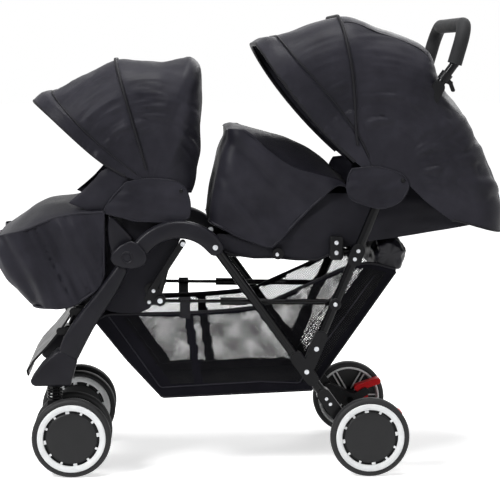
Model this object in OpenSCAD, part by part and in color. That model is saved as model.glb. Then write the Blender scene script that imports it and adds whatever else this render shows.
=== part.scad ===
/* [Wheels] */
// Outer diameter of every tyre
wheel_d = 180; // [150:1:190]
// Width of every tyre
tyre_w = 34; // [28:1:38]
// Radial depth of the tyre's section
tyre_depth = 13; // [9:1:16]
// Diameter of the flat cap on each wheel
cap_d = 117; // [90:1:120]
// Diameter of the wheel hubs
hub_d = 40; // [30:1:50]
// Diameter of the axles
axle_d = 8; // [6:0.5:10]
// Running gap between an axle and its wheel
axle_gap = 0.3; // [0.2:0.05:0.5]

/* [Track] */
// Rear axle, distance behind the middle of the stroller
rear_axle_x = 260; // [245:1:275]
// Caster swivel axis, distance in front of the middle
caster_x = 456; // [445:1:465]
// Trail of the casters
caster_trail = 39; // [30:1:45]
// Half the distance between the rear wheels' middles
rear_track = 248; // [246:1:256]
// Half the distance between the two caster axes
caster_track = 185; // [180:1:190]
// Clear gap between the two tyres of a caster
twin_gap = 56; // [54:1:62]

/* [Casters] */
// Height of the front legs' underside
boot_z = 207; // [204:1:212]
// Diameter of the caster stem
stem_d = 12; // [10:1:14]
// Height of the stem inside the leg
stem_in = 30; // [20:1:36]
// Outer diameter of the coil spring
spring_d = 36; // [32:1:40]
// Wire diameter of the coil spring
spring_wire = 4.5; // [3.5:0.5:5]
// Turns of the coil spring
spring_turns = 4.5; // [4:0.5:5]
// Height of the coil spring
spring_h = 36; // [34:1:37]
// Thickness of the caster fork across
fork_w = 40; // [34:1:44]

/* [Frame tubes] */
// Diameter of the rear legs and handle tubes
tube_d = 22; // [20:1:24]
// Half the distance between left and right tubes
tube_y = 212; // [211:0.5:213]
// Fold pivot, distance in front of the middle
fold_x = 90; // [86:1:94]
// Fold pivot, height
fold_z = 522; // [518:1:526]
// Diameter of the fold pins
pin_d = 8; // [6:0.5:10]
// Gap round every pivot pin
pin_gap = 0.3; // [0.2:0.05:0.5]
// Lower end of the rear legs, distance behind the middle
leg_foot_x = 204; // [200:1:208]
// Lower end of the rear legs, height
leg_foot_z = 117; // [114:1:120]
// Distance of the handle joint down the rear leg
joint_run = 353; // [348:1:358]
// Lean of the lower handle tubes from upright
handle_lean = 22.8; // [22:0.1:23.6]
// Height of the bend in the handle tubes
handle_bend_z = 640; // [630:1:650]
// Lean of the upper handle tubes
upper_lean = 27.3; // [26.6:0.1:28]
// Height of the handle clamps
clamp_z = 880; // [874:1:886]
// Diameter of the upper handle tube
bar_d = 20; // [18:1:20]
// Outer diameter of the foam grip
grip_d = 33; // [30:1:36]
// Corner radius of the push bar
bar_corner = 48; // [40:1:60]

/* [Side rails] */
// Half the distance between the side rails
rail_y = 182; // [181:0.5:183]
// Front rail pivot, distance in front of the middle
rail_x = 215; // [213:1:217]
// Front rail pivot, height
rail_z = 396; // [394:1:398]
// Rail lock on the handle tubes, distance above the handle joint
lock_run = 167; // [164:1:170]
// Diameter of the rail rods
rod_d = 8; // [6:0.5:9]
// Diameter of the rail tubes
rail_d = 13; // [12:0.5:14]
// Diameter of the rail collars
collar_d = 18; // [17:0.5:20]
// Clearance between a rod and its tube
slide_gap = 0.4; // [0.3:0.1:0.6]

/* [Legs and arms] */
// Inner face of the front legs from the middle
leg_in = 192; // [191.5:0.5:193]
// Thickness of the front legs
leg_t = 34; // [30:1:36]
// Inner face of the caster boots from the middle
boot_in = 160; // [156:1:164]
// Inner face of the arms from the middle
arm_in = 197; // [196:0.5:198]
// Thickness of the arms
arm_t = 32; // [30:1:33]
// Height of the arm's section
arm_h = 40; // [36:1:42]
// Rise of the arm between its ends
arm_rise = 40; // [36:1:44]
// Elbow joint, distance in front of the middle
elbow_x = 286; // [283:1:289]
// Elbow joint, height
elbow_z = 505; // [502:1:508]
// Thickness of the elbow covers
cover_t = 6; // [4:1:8]
// Thickness of the step plate
step_t = 5; // [4:0.5:7]

/* [Front seat] */
// Diameter of the seat tubes
seat_tube_d = 18; // [16:1:18]
// Recline lean of the front backrest
front_back_lean = 12; // [10:1:13]
// Length of the front backrest
front_back_l = 320; // [300:1:330]
// Half width of the front backrest
front_back_half = 150; // [140:1:152]
// Thickness of the front seat cushion
front_cushion_t = 40; // [32:1:44]

/* [Rear seat] */
// Height of the rear seat tubes
rear_seat_z = 503; // [500:1:505]
// Thickness of the rear seat cushion
rear_cushion_t = 42; // [34:1:46]
// Length of the rear backrest
rear_back_l = 340; // [320:1:350]
// Rise of the reclined rear backrest
rear_back_rise = 9; // [8:1:11]

/* [Hoods] */
// Front hood pivot, distance in front of the middle
front_hood_x = 235; // [230:1:240]
// Front hood pivot, height
front_hood_z = 664; // [658:1:670]
// Half width of the front hood
front_hood_half = 203; // [200:1:206]
// Rear hood pivot, distance behind the middle
rear_hood_x = 270; // [266:1:274]
// Rear hood pivot, height
rear_hood_z = 677; // [672:1:682]
// Half width of the rear hood
rear_hood_half = 233; // [231:1:236]
// Thickness of the hood cloth
cloth_t = 2; // [1.5:0.5:2.5]
// Diameter of the hood bows
bow_d = 6; // [5:0.5:6.5]
// Corner radius of the hood bows
bow_corner = 115; // [110:1:125]

/* [Basket] */
// Wall thickness of the basket
basket_t = 2.5; // [2:0.5:4]
// Pitch of the net's gaps in the basket's sides
net_pitch = 28; // [26:1:32]
// Width of the net's cords
net_cord = 7; // [5:0.5:9]
// Height of the basket floor
basket_floor = 168; // [164:1:176]

/* [Hidden] */
$fn = 48;
black = "#26282b";
gloss = "#151618";
cloth = "#232629";
zinc = "#c9ccd0";
rim_white = "#e6e7e6";
brake_red = "#c0202a";
foam = "#35373a";

// Places in the side view, as [x, height]
A = [-fold_x, fold_z];
foot = [leg_foot_x, leg_foot_z];
leg_dir = (foot - A) / norm(foot - A);
J = A + joint_run * leg_dir;
low_dir = [sin(handle_lean), cos(handle_lean)];
high_dir = [sin(upper_lean), cos(upper_lean)];
bend = J + low_dir * (handle_bend_z - J[1]) / low_dir[1];
K = bend + high_dir * (clamp_z - bend[1]) / high_dir[1];
D = J + lock_run * low_dir;
G = [-rail_x, rail_z];
E = [-elbow_x, elbow_z];
// Ends of the link from the seat bracket to the arm
link_low = G + [-20, 23];
H = [-163, 530];
rear_axle_p = [rear_axle_x, wheel_d / 2];
caster_p = [-caster_x, boot_z];
front_axle_p = [caster_trail - caster_x, wheel_d / 2];
front_hood_p = [-front_hood_x, front_hood_z];
rear_hood_p = [rear_hood_x, rear_hood_z];

// Turn of the frame from open to folded
fold_turn = 42;

// Gap between a soft piece and what carries it, and between a hood's cloth and its bows
seat_gap = 0.3;
bow_gap = 1.5;

// Push bar above the clamps: lean and length of its two straight runs
neck_lean = 36;
neck_run = 66;
grip_lean = 16;
grip_run = 92;
neck_dir = [sin(neck_lean), cos(neck_lean)];
grip_dir = [sin(grip_lean), cos(grip_lean)];
neck_top = K + neck_run * neck_dir;
bar_top = neck_top + grip_run * grip_dir;

// Seat tubes lie inside the rails, and the seat boards and the basket follow them
seat_y = 164;
board_over = 1;
basket_over = 2;
front_seat_half = seat_y + board_over;
rear_seat_half = seat_y + board_over;
basket_half = seat_y + basket_over;
seat_top = [-160, 625];
seat_low = [-222, 400];
seat_front = [-350, 392];
seat_dir = (seat_top - seat_low) / norm(seat_top - seat_low);
F = J + low_dir * (rear_seat_z - J[1]) / low_dir[1];
recline_p = [F[0] - 30, rear_seat_z + 27];
rear_seat_front = 82;
front_recline_p = seat_low + [-12, 26];
brake_p = rear_axle_p + [37, 22];
fork_top = boot_z - spring_h - 2 * seat_gap;
spoke_n = 12;
wheel_r = wheel_d / 2;
rim_r = wheel_r - tyre_depth;
cap_r = cap_d / 2;

// Hood reach by angle from upright, rearward positive
front_reach = [[-56, 325], [-51, 320], [-48, 304], [-36, 291], [-26, 285], [-16, 288], [-6, 277], [4, 273],
    [15, 293], [18, 301], [22, 295], [30, 236], [43, 167], [57, 137], [75, 108], [105, 98]];
rear_reach = [[-41, 401], [-35, 386], [-24, 371], [-12, 372], [3, 341], [16, 326], [24, 320]];
curtain_reach = [[24, 320], [31, 294], [37, 277], [45, 264], [65, 264], [82, 281], [98, 316], [103, 328.8],
    [114, 350]];
front_apron_p = [-390, 470];
front_apron_reach = [[-143, 112], [-138, 124], [-128, 142], [-119, 152], [-104, 164], [-93, 182], [-81, 206],
    [-58, 187], [-39, 176], [-19, 158], [-7, 157], [13, 205]];
rear_apron_p = [100, 516];
rear_apron_reach = [[-90, 194], [-65, 214], [-44, 254], [-30, 302], [-25, 309], [-15, 274], [4, 224],
    [16, 204]];
front_apron_half = 210;
rear_apron_half = 186;
apron_t = 8;
front_apron_start = -143;
front_apron_end = 13;
front_apron_rows = 18;
function front_apron_angle(i) = front_apron_start + (front_apron_end - front_apron_start) * i / front_apron_rows;
function front_apron_r(t) = lookup(t, front_apron_reach) + 2.5 * sin(16 * t);
function rear_apron_r(t) = lookup(t, rear_apron_reach) + 2 * sin(18 * t);
hood_foot = 26;
section_power = 7;

front_bow_angles = [-54, -16, 20];
rear_bow_angles = [-39, -12, 20];
bow_step = bow_d + 1;
bow_in = 10;
eye_r = 8;
eye_t = 5;
hood_pin_d = 6;

// Common shapes
module pair() {
    children();
    mirror([0, 1, 0]) children();
}
module left() mirror([0, 1, 0]) children();
// Extrudes a side-view outline between two distances from the middle
module plate(y0, y1) rotate([90, 0, 0]) translate([0, 0, -y1]) linear_extrude(y1 - y0) children();
// Sides of a bar lie this far inside its round ends
side_in = 0.04;
module bar_sides(p, q, r) {
    v = q - p;
    w = r - side_in;
    translate(p) rotate(atan2(v[1], v[0])) translate([0, -w]) square([norm(v), 2 * w]);
}
module bar(p, q, r) {
    translate(p) circle(r);
    translate(q) circle(r);
    bar_sides(p, q, r);
}
// Straight round rod between two points in space
module rod(p, q, d) {
    v = q - p;
    translate(p) rotate([0, acos(v[2] / norm(v)), atan2(v[1], v[0])]) cylinder(h = norm(v), d = d);
}
// Rod in a side-view plane at distance y from the middle
module side_rod(p, q, y, d) rod([p[0], y, p[1]], [q[0], y, q[1]], d);
module cross_pin(p, y0, y1, d) translate([p[0], y0, p[1]]) rotate([-90, 0, 0]) cylinder(h = y1 - y0, d = d);
// Ball at a bend, a little larger than the tubes that meet in it
module ball(p, y, d) translate([p[0], y, p[1]]) sphere(d = d + 1);
function along(p, dir, run) = p + run * dir;
function turn(v, a) = [v[0] * cos(a) + v[1] * sin(a), -v[0] * sin(a) + v[1] * cos(a)];
function signed_power(v, n) = sign(v) * pow(abs(v), n);

// Closed shell between an outer and an inner grid of points
function grid_faces(n, m, first, flip) = [
    for (i = [0 : n - 2], j = [0 : m - 2], k = [0, 1])
        let (a = first + i * m + j, b = a + 1, c = a + m, d = c + 1)
        k == 0 ? (flip ? [a, c, b] : [a, b, c]) : (flip ? [b, c, d] : [b, d, c])
];
function edge_faces(n, m) = let (N = n * m) [
    for (j = [0 : m - 2], k = [0, 1])
        k == 0 ? [j + 1, j, N + j] : [j + 1, N + j, N + j + 1],
    for (j = [0 : m - 2], k = [0, 1])
        let (c = (n - 1) * m + j)
        k == 0 ? [c, c + 1, N + c + 1] : [c, N + c + 1, N + c],
    for (i = [0 : n - 2], k = [0, 1])
        let (a = i * m, c = a + m)
        k == 0 ? [a, c, N + c] : [a, N + c, N + a],
    for (i = [0 : n - 2], k = [0, 1])
        let (b = i * m + m - 1, d = b + m)
        k == 0 ? [d, b, N + b] : [d, N + b, N + d]
];
module shell(outer, inner) {
    n = len(outer);
    m = len(outer[0]);
    polyhedron([for (row = outer) each row, for (row = inner) each row],
        concat(grid_faces(n, m, 0, false), grid_faces(n, m, n * m, true), edge_faces(n, m)));
}
// U-shaped section of a cloth hood at one angle round its axis
function hood_row(p, angle, reach, half, cols) = [
    for (j = [0 : cols])
        let (
            a = -90 + 180 * j / cols,
            y = half * signed_power(sin(a), 2 / section_power),
            r = hood_foot + (reach - hood_foot) * pow(max(cos(a), 0), 2 / section_power)
        )
        [p[0] + r * sin(angle), y, p[1] + r * cos(angle)]
];
module hood_cloth(p, angles, reach, half, thick, cols) {
    shell([for (t = angles) hood_row(p, t, reach(t), half, cols)],
        [for (t = angles) hood_row(p, t, reach(t) - thick, half - thick, cols)]);
}
// Cushion with a crowned top, drawn-in sides and sewn channels across it
module cushion(length, half, thick, edge, channels, depth, nx = 20, ny = 14) {
    function crown(u, v) = (1 - pow(abs(u), 4)) * (1 - pow(abs(v), 4));
    function channel(u) = max([0, for (c = channels) exp(-pow((u - c) * 14, 2))]);
    function top(u, v) = edge / 2 + (thick - edge) * crown(u, v) * (1 - depth * channel(u));
    function draw(u) = 1 - 0.035 * pow(cos(90 * u), 2);
    xs = [for (i = [0 : nx]) -1 + 2 * i / nx];
    ys = [for (j = [0 : ny]) signed_power(sin(90 * (-1 + 2 * j / ny)), 0.9)];
    shell([for (u = xs) [for (v = ys) [(u + 1) / 2 * length, v * half * draw(u), edge / 2 + top(u, v)]]],
        [for (u = xs) [for (v = ys) [(u + 1) / 2 * length, v * half * draw(u), 0]]]);
}

// Front frame
boot_outline = [[54, 60], [40, 13], [40, 0], [-46, 0], [-55, 11], [-28, 49], [9, 83]];
leg_outline = concat([for (p = boot_outline) caster_p + p],
    [caster_p + [38, 137], caster_p + [97, 212], E + [-26, -23], E, E + [-1, -36],
    caster_p + [117, 171], caster_p + [90, 130]]);
elbow_r = 26;
joint_gap = 0.3;
stem_gap = 0.4;

module front_leg() {
    color(black) difference() {
        union() {
            plate(leg_in, leg_in + leg_t) difference() {
                polygon(leg_outline);
                translate(E) circle(elbow_r + joint_gap);
            }
            plate(boot_in, leg_in + 1) polygon([for (p = boot_outline) caster_p + p]);
        }
        translate([caster_p[0], caster_track, boot_z - 1])
            cylinder(h = stem_in + 2, d = stem_d + 2 * stem_gap);
    }
}
module arm() {
    half_span = (elbow_x - elbow_r - 5 - fold_x) / 2;
    R = (half_span * half_span + arm_rise * arm_rise) / (2 * arm_rise);
    mid = [-fold_x - half_span, fold_z + arm_rise - R];
    reach = 2 * R;
    slope = atan2(fold_z - mid[1], half_span);
    color(black) difference() {
        plate(arm_in, arm_in + arm_t) difference() {
            union() {
                intersection() {
                    translate(mid) difference() {
                        circle(R + arm_h / 2, $fn = 96);
                        circle(R - arm_h / 2, $fn = 96);
                    }
                    translate(mid) polygon([[0, 0], reach * [cos(slope), sin(slope)],
                        reach * [cos(slope), 2], reach * [-cos(slope), 2], reach * [-cos(slope), sin(slope)]]);
                }
                translate(A) circle(arm_h / 2 - side_in);
                translate(E) circle(elbow_r);
                bar(mid + R * [-cos(slope), sin(slope)], E, arm_h / 2 - 1);
                bar(H, H + [0, 30], 9);
            }
            translate(A) circle(d = pin_d);
        }
        plate(tube_y - tube_d / 2 - 1, tube_y + tube_d / 2 + 1) fold_slot(tube_d / 2 + 2.5, 60);
    }
}
// Room for the rear leg to turn inside the arm
module fold_slot(r, reach) {
    w = r - side_in;
    open_dir = turn(leg_dir, -6);
    shut_dir = turn(leg_dir, fold_turn + 6);
    open_side = w * [-open_dir[1], open_dir[0]];
    shut_side = w * [shut_dir[1], -shut_dir[0]];
    translate(A) {
        circle(r);
        polygon([open_side, open_side + reach * open_dir, 1.2 * reach * turn(leg_dir, fold_turn / 2),
            shut_side + reach * shut_dir, shut_side]);
    }
}
module elbow_cover() {
    cover_y = arm_in + arm_t;
    button_r = 10;
    color(black) {
        plate(cover_y, cover_y + cover_t)
            hull() for (p = [[-30, -6], [3, 24], [33, -6], [3, -20]]) translate(E + p) circle(8);
        plate(cover_y + cover_t, cover_y + cover_t + 3) translate(E + [-3, -4]) circle(button_r);
    }
}
module bumper_bar() {
    bumper_d = 24;
    bumper_y = 178;
    shoulder = E + [-42, 62];
    nose_angle = front_apron_angle(15);
    nose_run = front_apron_r(nose_angle) - apron_t - 2 * bow_gap - bumper_d / 2;
    nose = front_apron_p + nose_run * [sin(nose_angle), cos(nose_angle)];
    corner = 70;
    run = norm(nose - shoulder);
    tilt = atan2(nose[1] - shoulder[1], -(nose[0] - shoulder[0]));
    thin = bumper_d - 0.5;
    rod_in = 3;
    color(foam) {
        pair() {
            cross_pin(E, bumper_y, arm_in, bumper_d - 4);
            ball(E, bumper_y, bumper_d);
            side_rod(E, shoulder, bumper_y, bumper_d);
            ball(shoulder, bumper_y, bumper_d);
            translate([shoulder[0], 0, shoulder[1]]) rotate([0, tilt, 0]) {
                rod([0, bumper_y, 0], [corner - run - rod_in, bumper_y, 0], thin);
                translate([corner - run, bumper_y - corner, 0]) rotate(90)
                    rotate_extrude(angle = 90) translate([corner, 0]) circle(d = bumper_d);
            }
        }
        translate([shoulder[0], 0, shoulder[1]]) rotate([0, tilt, 0])
            rod([-run, corner - bumper_y - rod_in, 0], [-run, bumper_y - corner + rod_in, 0], thin);
    }
}
module step_plate() {
    path = [[43, 166], [13, 121], [-16, 86], [-48, 52], [-62, 30], [-60, 21]];
    lug_t = 10;
    color(black) {
        plate(lug_t / 2 - leg_in, leg_in - lug_t / 2) {
            for (q = path) translate(caster_p + q) circle(step_t / 2);
            for (i = [1 : len(path) - 1]) bar_sides(caster_p + path[i - 1], caster_p + path[i], step_t / 2);
        }
        pair() plate(leg_in - lug_t, leg_in) {
            bar(caster_p + path[0], caster_p + path[0] + [36, 0], 8);
            bar(caster_p + path[1], caster_p + path[1] + [36, 0], 8);
        }
    }
}
module front_seat_tubes() {
    board_t = 8;
    pan_dir = (seat_front - seat_low) / norm(seat_front - seat_low);
    color(gloss) {
        pair() {
            side_rod(seat_low, seat_top, seat_y, seat_tube_d);
            side_rod(seat_low, seat_front, seat_y, seat_tube_d);
            ball(seat_low, seat_y, seat_tube_d);
            ball(seat_front, seat_y, seat_tube_d);
        }
        for (s = [20, norm(seat_front - seat_low) - 20])
            cross_pin(along(seat_low, pan_dir, s), -seat_y, seat_y, seat_tube_d - 4);
        translate([seat_front[0], -front_seat_half, seat_low[1] - 2])
            cube([seat_low[0] - seat_front[0] - 12, 2 * front_seat_half, board_t]);
    }
}
// Bracket at the front rail pivot, with bosses that hold the seat to the arms and legs
module seat_bracket() {
    in = seat_y + seat_tube_d / 2 + 0.6;
    out = rail_y - 4 - 0.5;
    hang = along(seat_low, seat_dir, 178);
    lug = front_recline_p;
    link_in = rail_y + 5;
    color(black) {
        difference() {
            union() {
                plate(in, out) {
                    bar(G, seat_low + [-14, 22], 14);
                    bar(G, seat_low + [-18, -2], 12);
                }
                plate(front_back_half - 9, in + 1) bar(seat_low + [-14, 22], lug, 9);
                cross_pin(G, in, rail_y + 6, pin_d);
            }
            side_rod(seat_low, seat_top, seat_y, seat_tube_d + 0.4);
            side_rod(seat_low, seat_front, seat_y, seat_tube_d + 0.4);
            ball(seat_low, seat_y, seat_tube_d + 0.4);
            cross_pin(lug, 0, in, pin_d);
        }
        cross_pin(hang, in, arm_in, 16);
        plate(link_in, arm_in - 1) bar(link_low, H, 7);
        cross_pin(link_low, in + 1, arm_in - 2, 11);
        cross_pin(H, link_in + 1, arm_in, 11);
        cross_pin(seat_front, in, leg_in, 16);
    }
}
module front_seat_cushion() {
    color(cloth) translate([seat_front[0] - 50, 0, seat_low[1] + 6.5])
        cushion(seat_low[0] - seat_front[0] + 20, front_seat_half - 12, front_cushion_t, 12, [-0.3, 0.35], 0.3);
}
module backrest(length, half, thick) {
    board_t = 8;
    lug_y0 = half - 18;
    lug_y1 = half - 10;
    difference() {
        union() {
            translate([22, -half + 2, 0]) cube([length, 2 * half - 4, board_t]);
            pair() plate(lug_y0, lug_y1) {
                circle(11);
                bar([0, 0], [34, 4], 4);
            }
        }
        cross_pin([0, 0], -half, half, pin_d + 2 * pin_gap);
    }
    translate([24, 0, board_t + 0.3]) cushion(length - 4, half - 4, thick, 10, [-0.35, 0.3], 0.3);
}
module front_backrest() {
    color(cloth) translate([front_recline_p[0], 0, front_recline_p[1]])
        rotate([0, -90 + front_back_lean, 0])
        backrest(front_back_l, front_back_half, 30);
}
module front_apron() {
    color(cloth) hood_cloth(front_apron_p, [for (i = [0 : front_apron_rows]) front_apron_angle(i)],
        function (t) front_apron_r(t), front_apron_half, apron_t, 18);
}
module hood_frame(p, half, angles, reach, arm_p, arm_dir, arm_y, arm_d, plate_y) {
    rear_y = half - bow_in - 2 * bow_step;
    ring_h = 20;
    ring_r = arm_d / 2 + 4.5;
    pair() difference() {
        union() {
            plate(arm_y - ring_r, arm_y + ring_r)
                bar(along(arm_p, arm_dir, -ring_h / 2), along(arm_p, arm_dir, ring_h / 2), ring_r);
            plate(plate_y, plate_y + 8) bar(arm_p, p, 9);
            cross_pin(p, plate_y, half - bow_in + bow_d / 2 + 1, hood_pin_d);
        }
        side_rod(along(arm_p, arm_dir, -80), along(arm_p, arm_dir, 80), arm_y, arm_d + 0.3);
    }
    bow(p, angles[2], reach, rear_y, hood_pin_d);
}
// Round bow of a hood: two legs from the pivot, two corners and the top
module bow(p, angle, reach, y, bore) {
    top = reach - cloth_t - bow_gap - bow_d / 2;
    corner = bow_corner;
    translate([p[0], 0, p[1]]) rotate([0, angle, 0]) {
        pair() {
            difference() {
                union() {
                    cross_pin([0, 0], y - eye_t / 2, y + eye_t / 2, 2 * eye_r);
                    rod([0, y, 0], [0, y, top - corner], bow_d);
                }
                cross_pin([0, 0], y - bow_d, y + bow_d, bore);
            }
            translate([0, y - corner, top - corner]) rotate([0, -90, 0])
                rotate_extrude(angle = 90) translate([corner, 0]) circle(d = bow_d);
        }
        rod([0, corner - y, top], [0, y - corner, top], bow_d);
    }
}
module front_hood_frame() {
    color(gloss) hood_frame(front_hood_p, front_hood_half, front_bow_angles,
        lookup(front_bow_angles[2], front_reach), along(seat_low, seat_dir, 214), seat_dir, seat_y,
        seat_tube_d, seat_y + 1);
}
module front_hood_mid_bow() {
    color(gloss) bow(front_hood_p, front_bow_angles[1], lookup(front_bow_angles[1], front_reach),
        front_hood_half - bow_in - bow_step, hood_pin_d + 2 * pin_gap);
}
module front_hood_front_bow() {
    color(gloss) bow(front_hood_p, front_bow_angles[0], lookup(front_bow_angles[0], front_reach),
        front_hood_half - bow_in, hood_pin_d + 2 * pin_gap);
}
module front_canopy() {
    wing = [[-98, 4], [-98, -74], [70, -74], [94, -40], [98, 30], [40, 60], [-40, 40]];
    angles = [-56, -54, -51, -48, -36, -26, -16, -6, 4, 10, 15, 18, 20, 22, 30, 43, 57, 75, 105];
    color(cloth) {
        hood_cloth(front_hood_p, angles, function (t) lookup(t, front_reach), front_hood_half, cloth_t, 20);
        pair() plate(front_hood_half + 0.3, front_hood_half + 0.3 + cloth_t)
            polygon([for (p = wing) front_hood_p + p]);
    }
}
// Basket
basket_front = [-364, 348];
basket_rear = [328, 455];
// Whether a point lies within a side-view outline, by counting the edges that it is left of.
function within(p, outline) = len([for (i = [0 : len(outline) - 1])
    let (a = outline[i], b = outline[(i + 1) % len(outline)])
    if ((a[1] > p[1]) != (b[1] > p[1]) && p[0] < a[0] + (b[0] - a[0]) * (p[1] - a[1]) / (b[1] - a[1])) 1]) % 2 == 1;
module basket() {
    low_front = [-211, basket_floor];
    low_rear = [134, basket_floor + 14];
    rim_z = rail_z - 4;
    outline = [basket_front, low_front, low_rear, basket_rear, [290, 452], [196, rim_z + 8], [-205, rim_z - 12],
        basket_front + [34, 16]];
    tab = 24;
    window = [basket_front + [52, -6], low_front + [6, 24], low_rear + [-8, 22], basket_rear + [-44, -24],
        [196, rim_z - 20], [-205, rim_z - 28]];
    hole = net_pitch / 2 - net_cord / sqrt(2);
    first = ceil(window[0][0] / net_pitch);
    last = floor(window[3][0] / net_pitch);
    gaps = [for (i = [2 * first : 2 * last], j = [0 : 40])
        let (c = [i * net_pitch / 2, basket_floor + j * net_pitch / 2])
        if ((i + j) % 2 == 0 && len([for (d = [[1, 0], [0, 1], [-1, 0], [0, -1]])
            if (!within(c + hole * d, window)) 1]) == 0) c];
    color(cloth) {
        difference() {
            plate(-basket_half, basket_half) polygon(outline);
            plate(-basket_half + basket_t, basket_half - basket_t) polygon([
                basket_front + [4, 60], basket_front + [4, 1], low_front + [2, basket_t], low_rear + [-1, basket_t],
                basket_rear + [-6, 3], basket_rear + [-30, 60], [0, 600]]);
            plate(-basket_half - 1, basket_half + 1)
                for (c = gaps) polygon([for (d = [[1, 0], [0, 1], [-1, 0], [0, -1]]) c + hole * d]);
        }
        pair() {
            translate([-170, basket_half - 1, rail_z - 24])
                cube([tab, rail_y - rod_d / 2 - 0.3 - basket_half + 1, 30]);
            translate([70, basket_half - 1, rail_z - 18])
                cube([tab, rail_y - rail_d / 2 - 0.3 - basket_half + 1, 14]);
        }
        translate([basket_rear[0] - 1.6, 0, basket_rear[1] - 0.9]) rotate([0, -62, 0])
            cushion(74, basket_half - 6, 40, 16, [], 0, 10, 10);
    }
}
module front_screws() {
    head = 2.5;
    arm_out = arm_in + arm_t;
    color(zinc) pair() {
        cross_pin(A, arm_in - 2, arm_out, pin_d);
        cross_pin(A, arm_out, arm_out + head, 12);
        cross_pin(A, arm_in - 4, arm_in, 14);
        cross_pin(H, arm_out, arm_out + head, 11);
        cross_pin(front_recline_p, front_back_half - 26, seat_y + seat_tube_d / 2, pin_d);
        cross_pin(G, rail_y + 6.2, rail_y + 6.2 + head, 12);
    }
}
// Casters and wheels
module caster_fork() {
    hub_r = 20;
    neck_r = 17;
    axle_half = twin_gap / 2 + tyre_w - 8;
    top = [caster_p[0], fork_top - neck_r];
    color(black) {
        plate(caster_track - fork_w / 2, caster_track + fork_w / 2) {
            bar(top, front_axle_p, neck_r);
            translate(front_axle_p) circle(hub_r);
            translate([caster_p[0] - neck_r + 0.5, fork_top - neck_r]) square([2 * neck_r - 1, neck_r]);
        }
        translate([caster_p[0], caster_track, fork_top - 1]) cylinder(h = boot_z + stem_in - fork_top, d = stem_d);
        cross_pin(front_axle_p, caster_track - axle_half, caster_track + axle_half, axle_d);
    }
}
// Coil spring swept as one tube
spring_rings = 8;
spring_sides = 6;
function coil_point(k) = let (
        a = 360 * k / spring_rings,
        r = (spring_d - spring_wire) / 2,
        rise = (spring_h - spring_wire) / (spring_turns * spring_rings)
    )
    [r * cos(a), r * sin(a), spring_wire / 2 + rise * k];
coil_n = spring_turns * spring_rings;
coil = [for (k = [0 : coil_n]) coil_point(k)];
coil_gap = min([for (k = [0 : coil_n - spring_rings], j = [-1, 0, 1])
    k + spring_rings + j <= coil_n ? norm(coil[k + spring_rings + j] - coil[k]) - spring_wire : 1000]);
echo(least_gap_in_caster_spring = coil_gap);
module caster_spring() {
    points = [for (k = [0 : coil_n], s = [0 : spring_sides - 1])
        let (a = 360 * k / spring_rings, t = 360 * s / spring_sides)
        coil[k] + spring_wire / 2 * [cos(a) * cos(t), sin(a) * cos(t), sin(t)]];
    sides = [for (k = [0 : coil_n - 1], s = [0 : spring_sides - 1], h = [0, 1])
        let (
            a = k * spring_sides + s,
            b = k * spring_sides + (s + 1) % spring_sides,
            c = a + spring_sides,
            d = b + spring_sides
        )
        h == 0 ? [a, c, b] : [b, c, d]];
    last = coil_n * spring_sides;
    caps = [for (s = [1 : spring_sides - 2], h = [0, 1])
        h == 0 ? [0, s, s + 1] : [last, last + s + 1, last + s]];
    color(gloss) translate([caster_p[0], caster_track, fork_top + seat_gap]) polyhedron(points, concat(sides, caps));
}
module front_tyre(side) tyre_at(front_axle_p, caster_track + side * (twin_gap + tyre_w) / 2);
module rear_tyre() tyre_at(rear_axle_p, rear_track);
module tyre_at(p, y) {
    round_r = 9;
    color(black) translate([p[0], y, p[1]]) rotate([90, 0, 0]) rotate_extrude($fn = 96) difference() {
        union() {
            translate([rim_r, -tyre_w / 2 + 2]) square([tyre_depth - round_r, tyre_w - 4]);
            translate([rim_r, -tyre_w / 2 + round_r + 2]) square([tyre_depth, tyre_w - 2 * round_r - 4]);
            for (s = [-1, 1]) translate([wheel_r - round_r, s * (tyre_w / 2 - round_r - 2)]) circle(round_r);
        }
        translate([rim_r - round_r, -tyre_w / 2]) square([round_r, tyre_w]);
    }
}
// Wheel with its cap on the side named by out, 1 or -1
module wheel_at(p, y, out, hub_in) {
    half = tyre_w / 2;
    ring_in = cap_r + 5;
    barrel_t = 5;
    web_t = 5;
    slot_r = 3;
    color(rim_white) translate([p[0], y, p[1]]) rotate([-90, 0, 0]) mirror([0, 0, out > 0 ? 0 : 1])
        difference() {
            union() {
                difference() {
                    translate([0, 0, -half + 1]) cylinder(h = tyre_w - 1, r = rim_r, $fn = 96);
                    translate([0, 0, -half]) cylinder(h = tyre_w - 6, r = rim_r - barrel_t, $fn = 96);
                    translate([0, 0, half - 7]) cylinder(h = 8, r = ring_in, $fn = 96);
                }
                translate([0, 0, -half + 10]) cylinder(h = web_t, r = rim_r - 1);
                translate([0, 0, -half - hub_in]) cylinder(h = tyre_w + hub_in - 4, d = hub_d);
                translate([0, 0, half - 6]) cylinder(h = 5, r = cap_r, $fn = 96);
                for (i = [0 : spoke_n - 1]) rotate(360 * i / spoke_n)
                    translate([cap_r - 1, -slot_r, half - 6]) cube([ring_in - cap_r + 2, 2 * slot_r, 3]);
            }
            translate([0, 0, -half - hub_in - 1])
                cylinder(h = tyre_w + hub_in + 1 - 7, d = axle_d + 2 * axle_gap);
            for (i = [0 : 5]) rotate(60 * i + 15) translate([(hub_d / 2 + rim_r) / 2, 0, -half])
                cylinder(h = 18, r = (rim_r - barrel_t - hub_d / 2) / 2 - 4);
        }
}
module front_wheel(side) wheel_at(front_axle_p, caster_track + side * (twin_gap + tyre_w) / 2, side,
    (twin_gap - fork_w) / 2 - 0.5);
module rear_wheel() wheel_at(rear_axle_p, rear_track, 1, 0);

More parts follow.
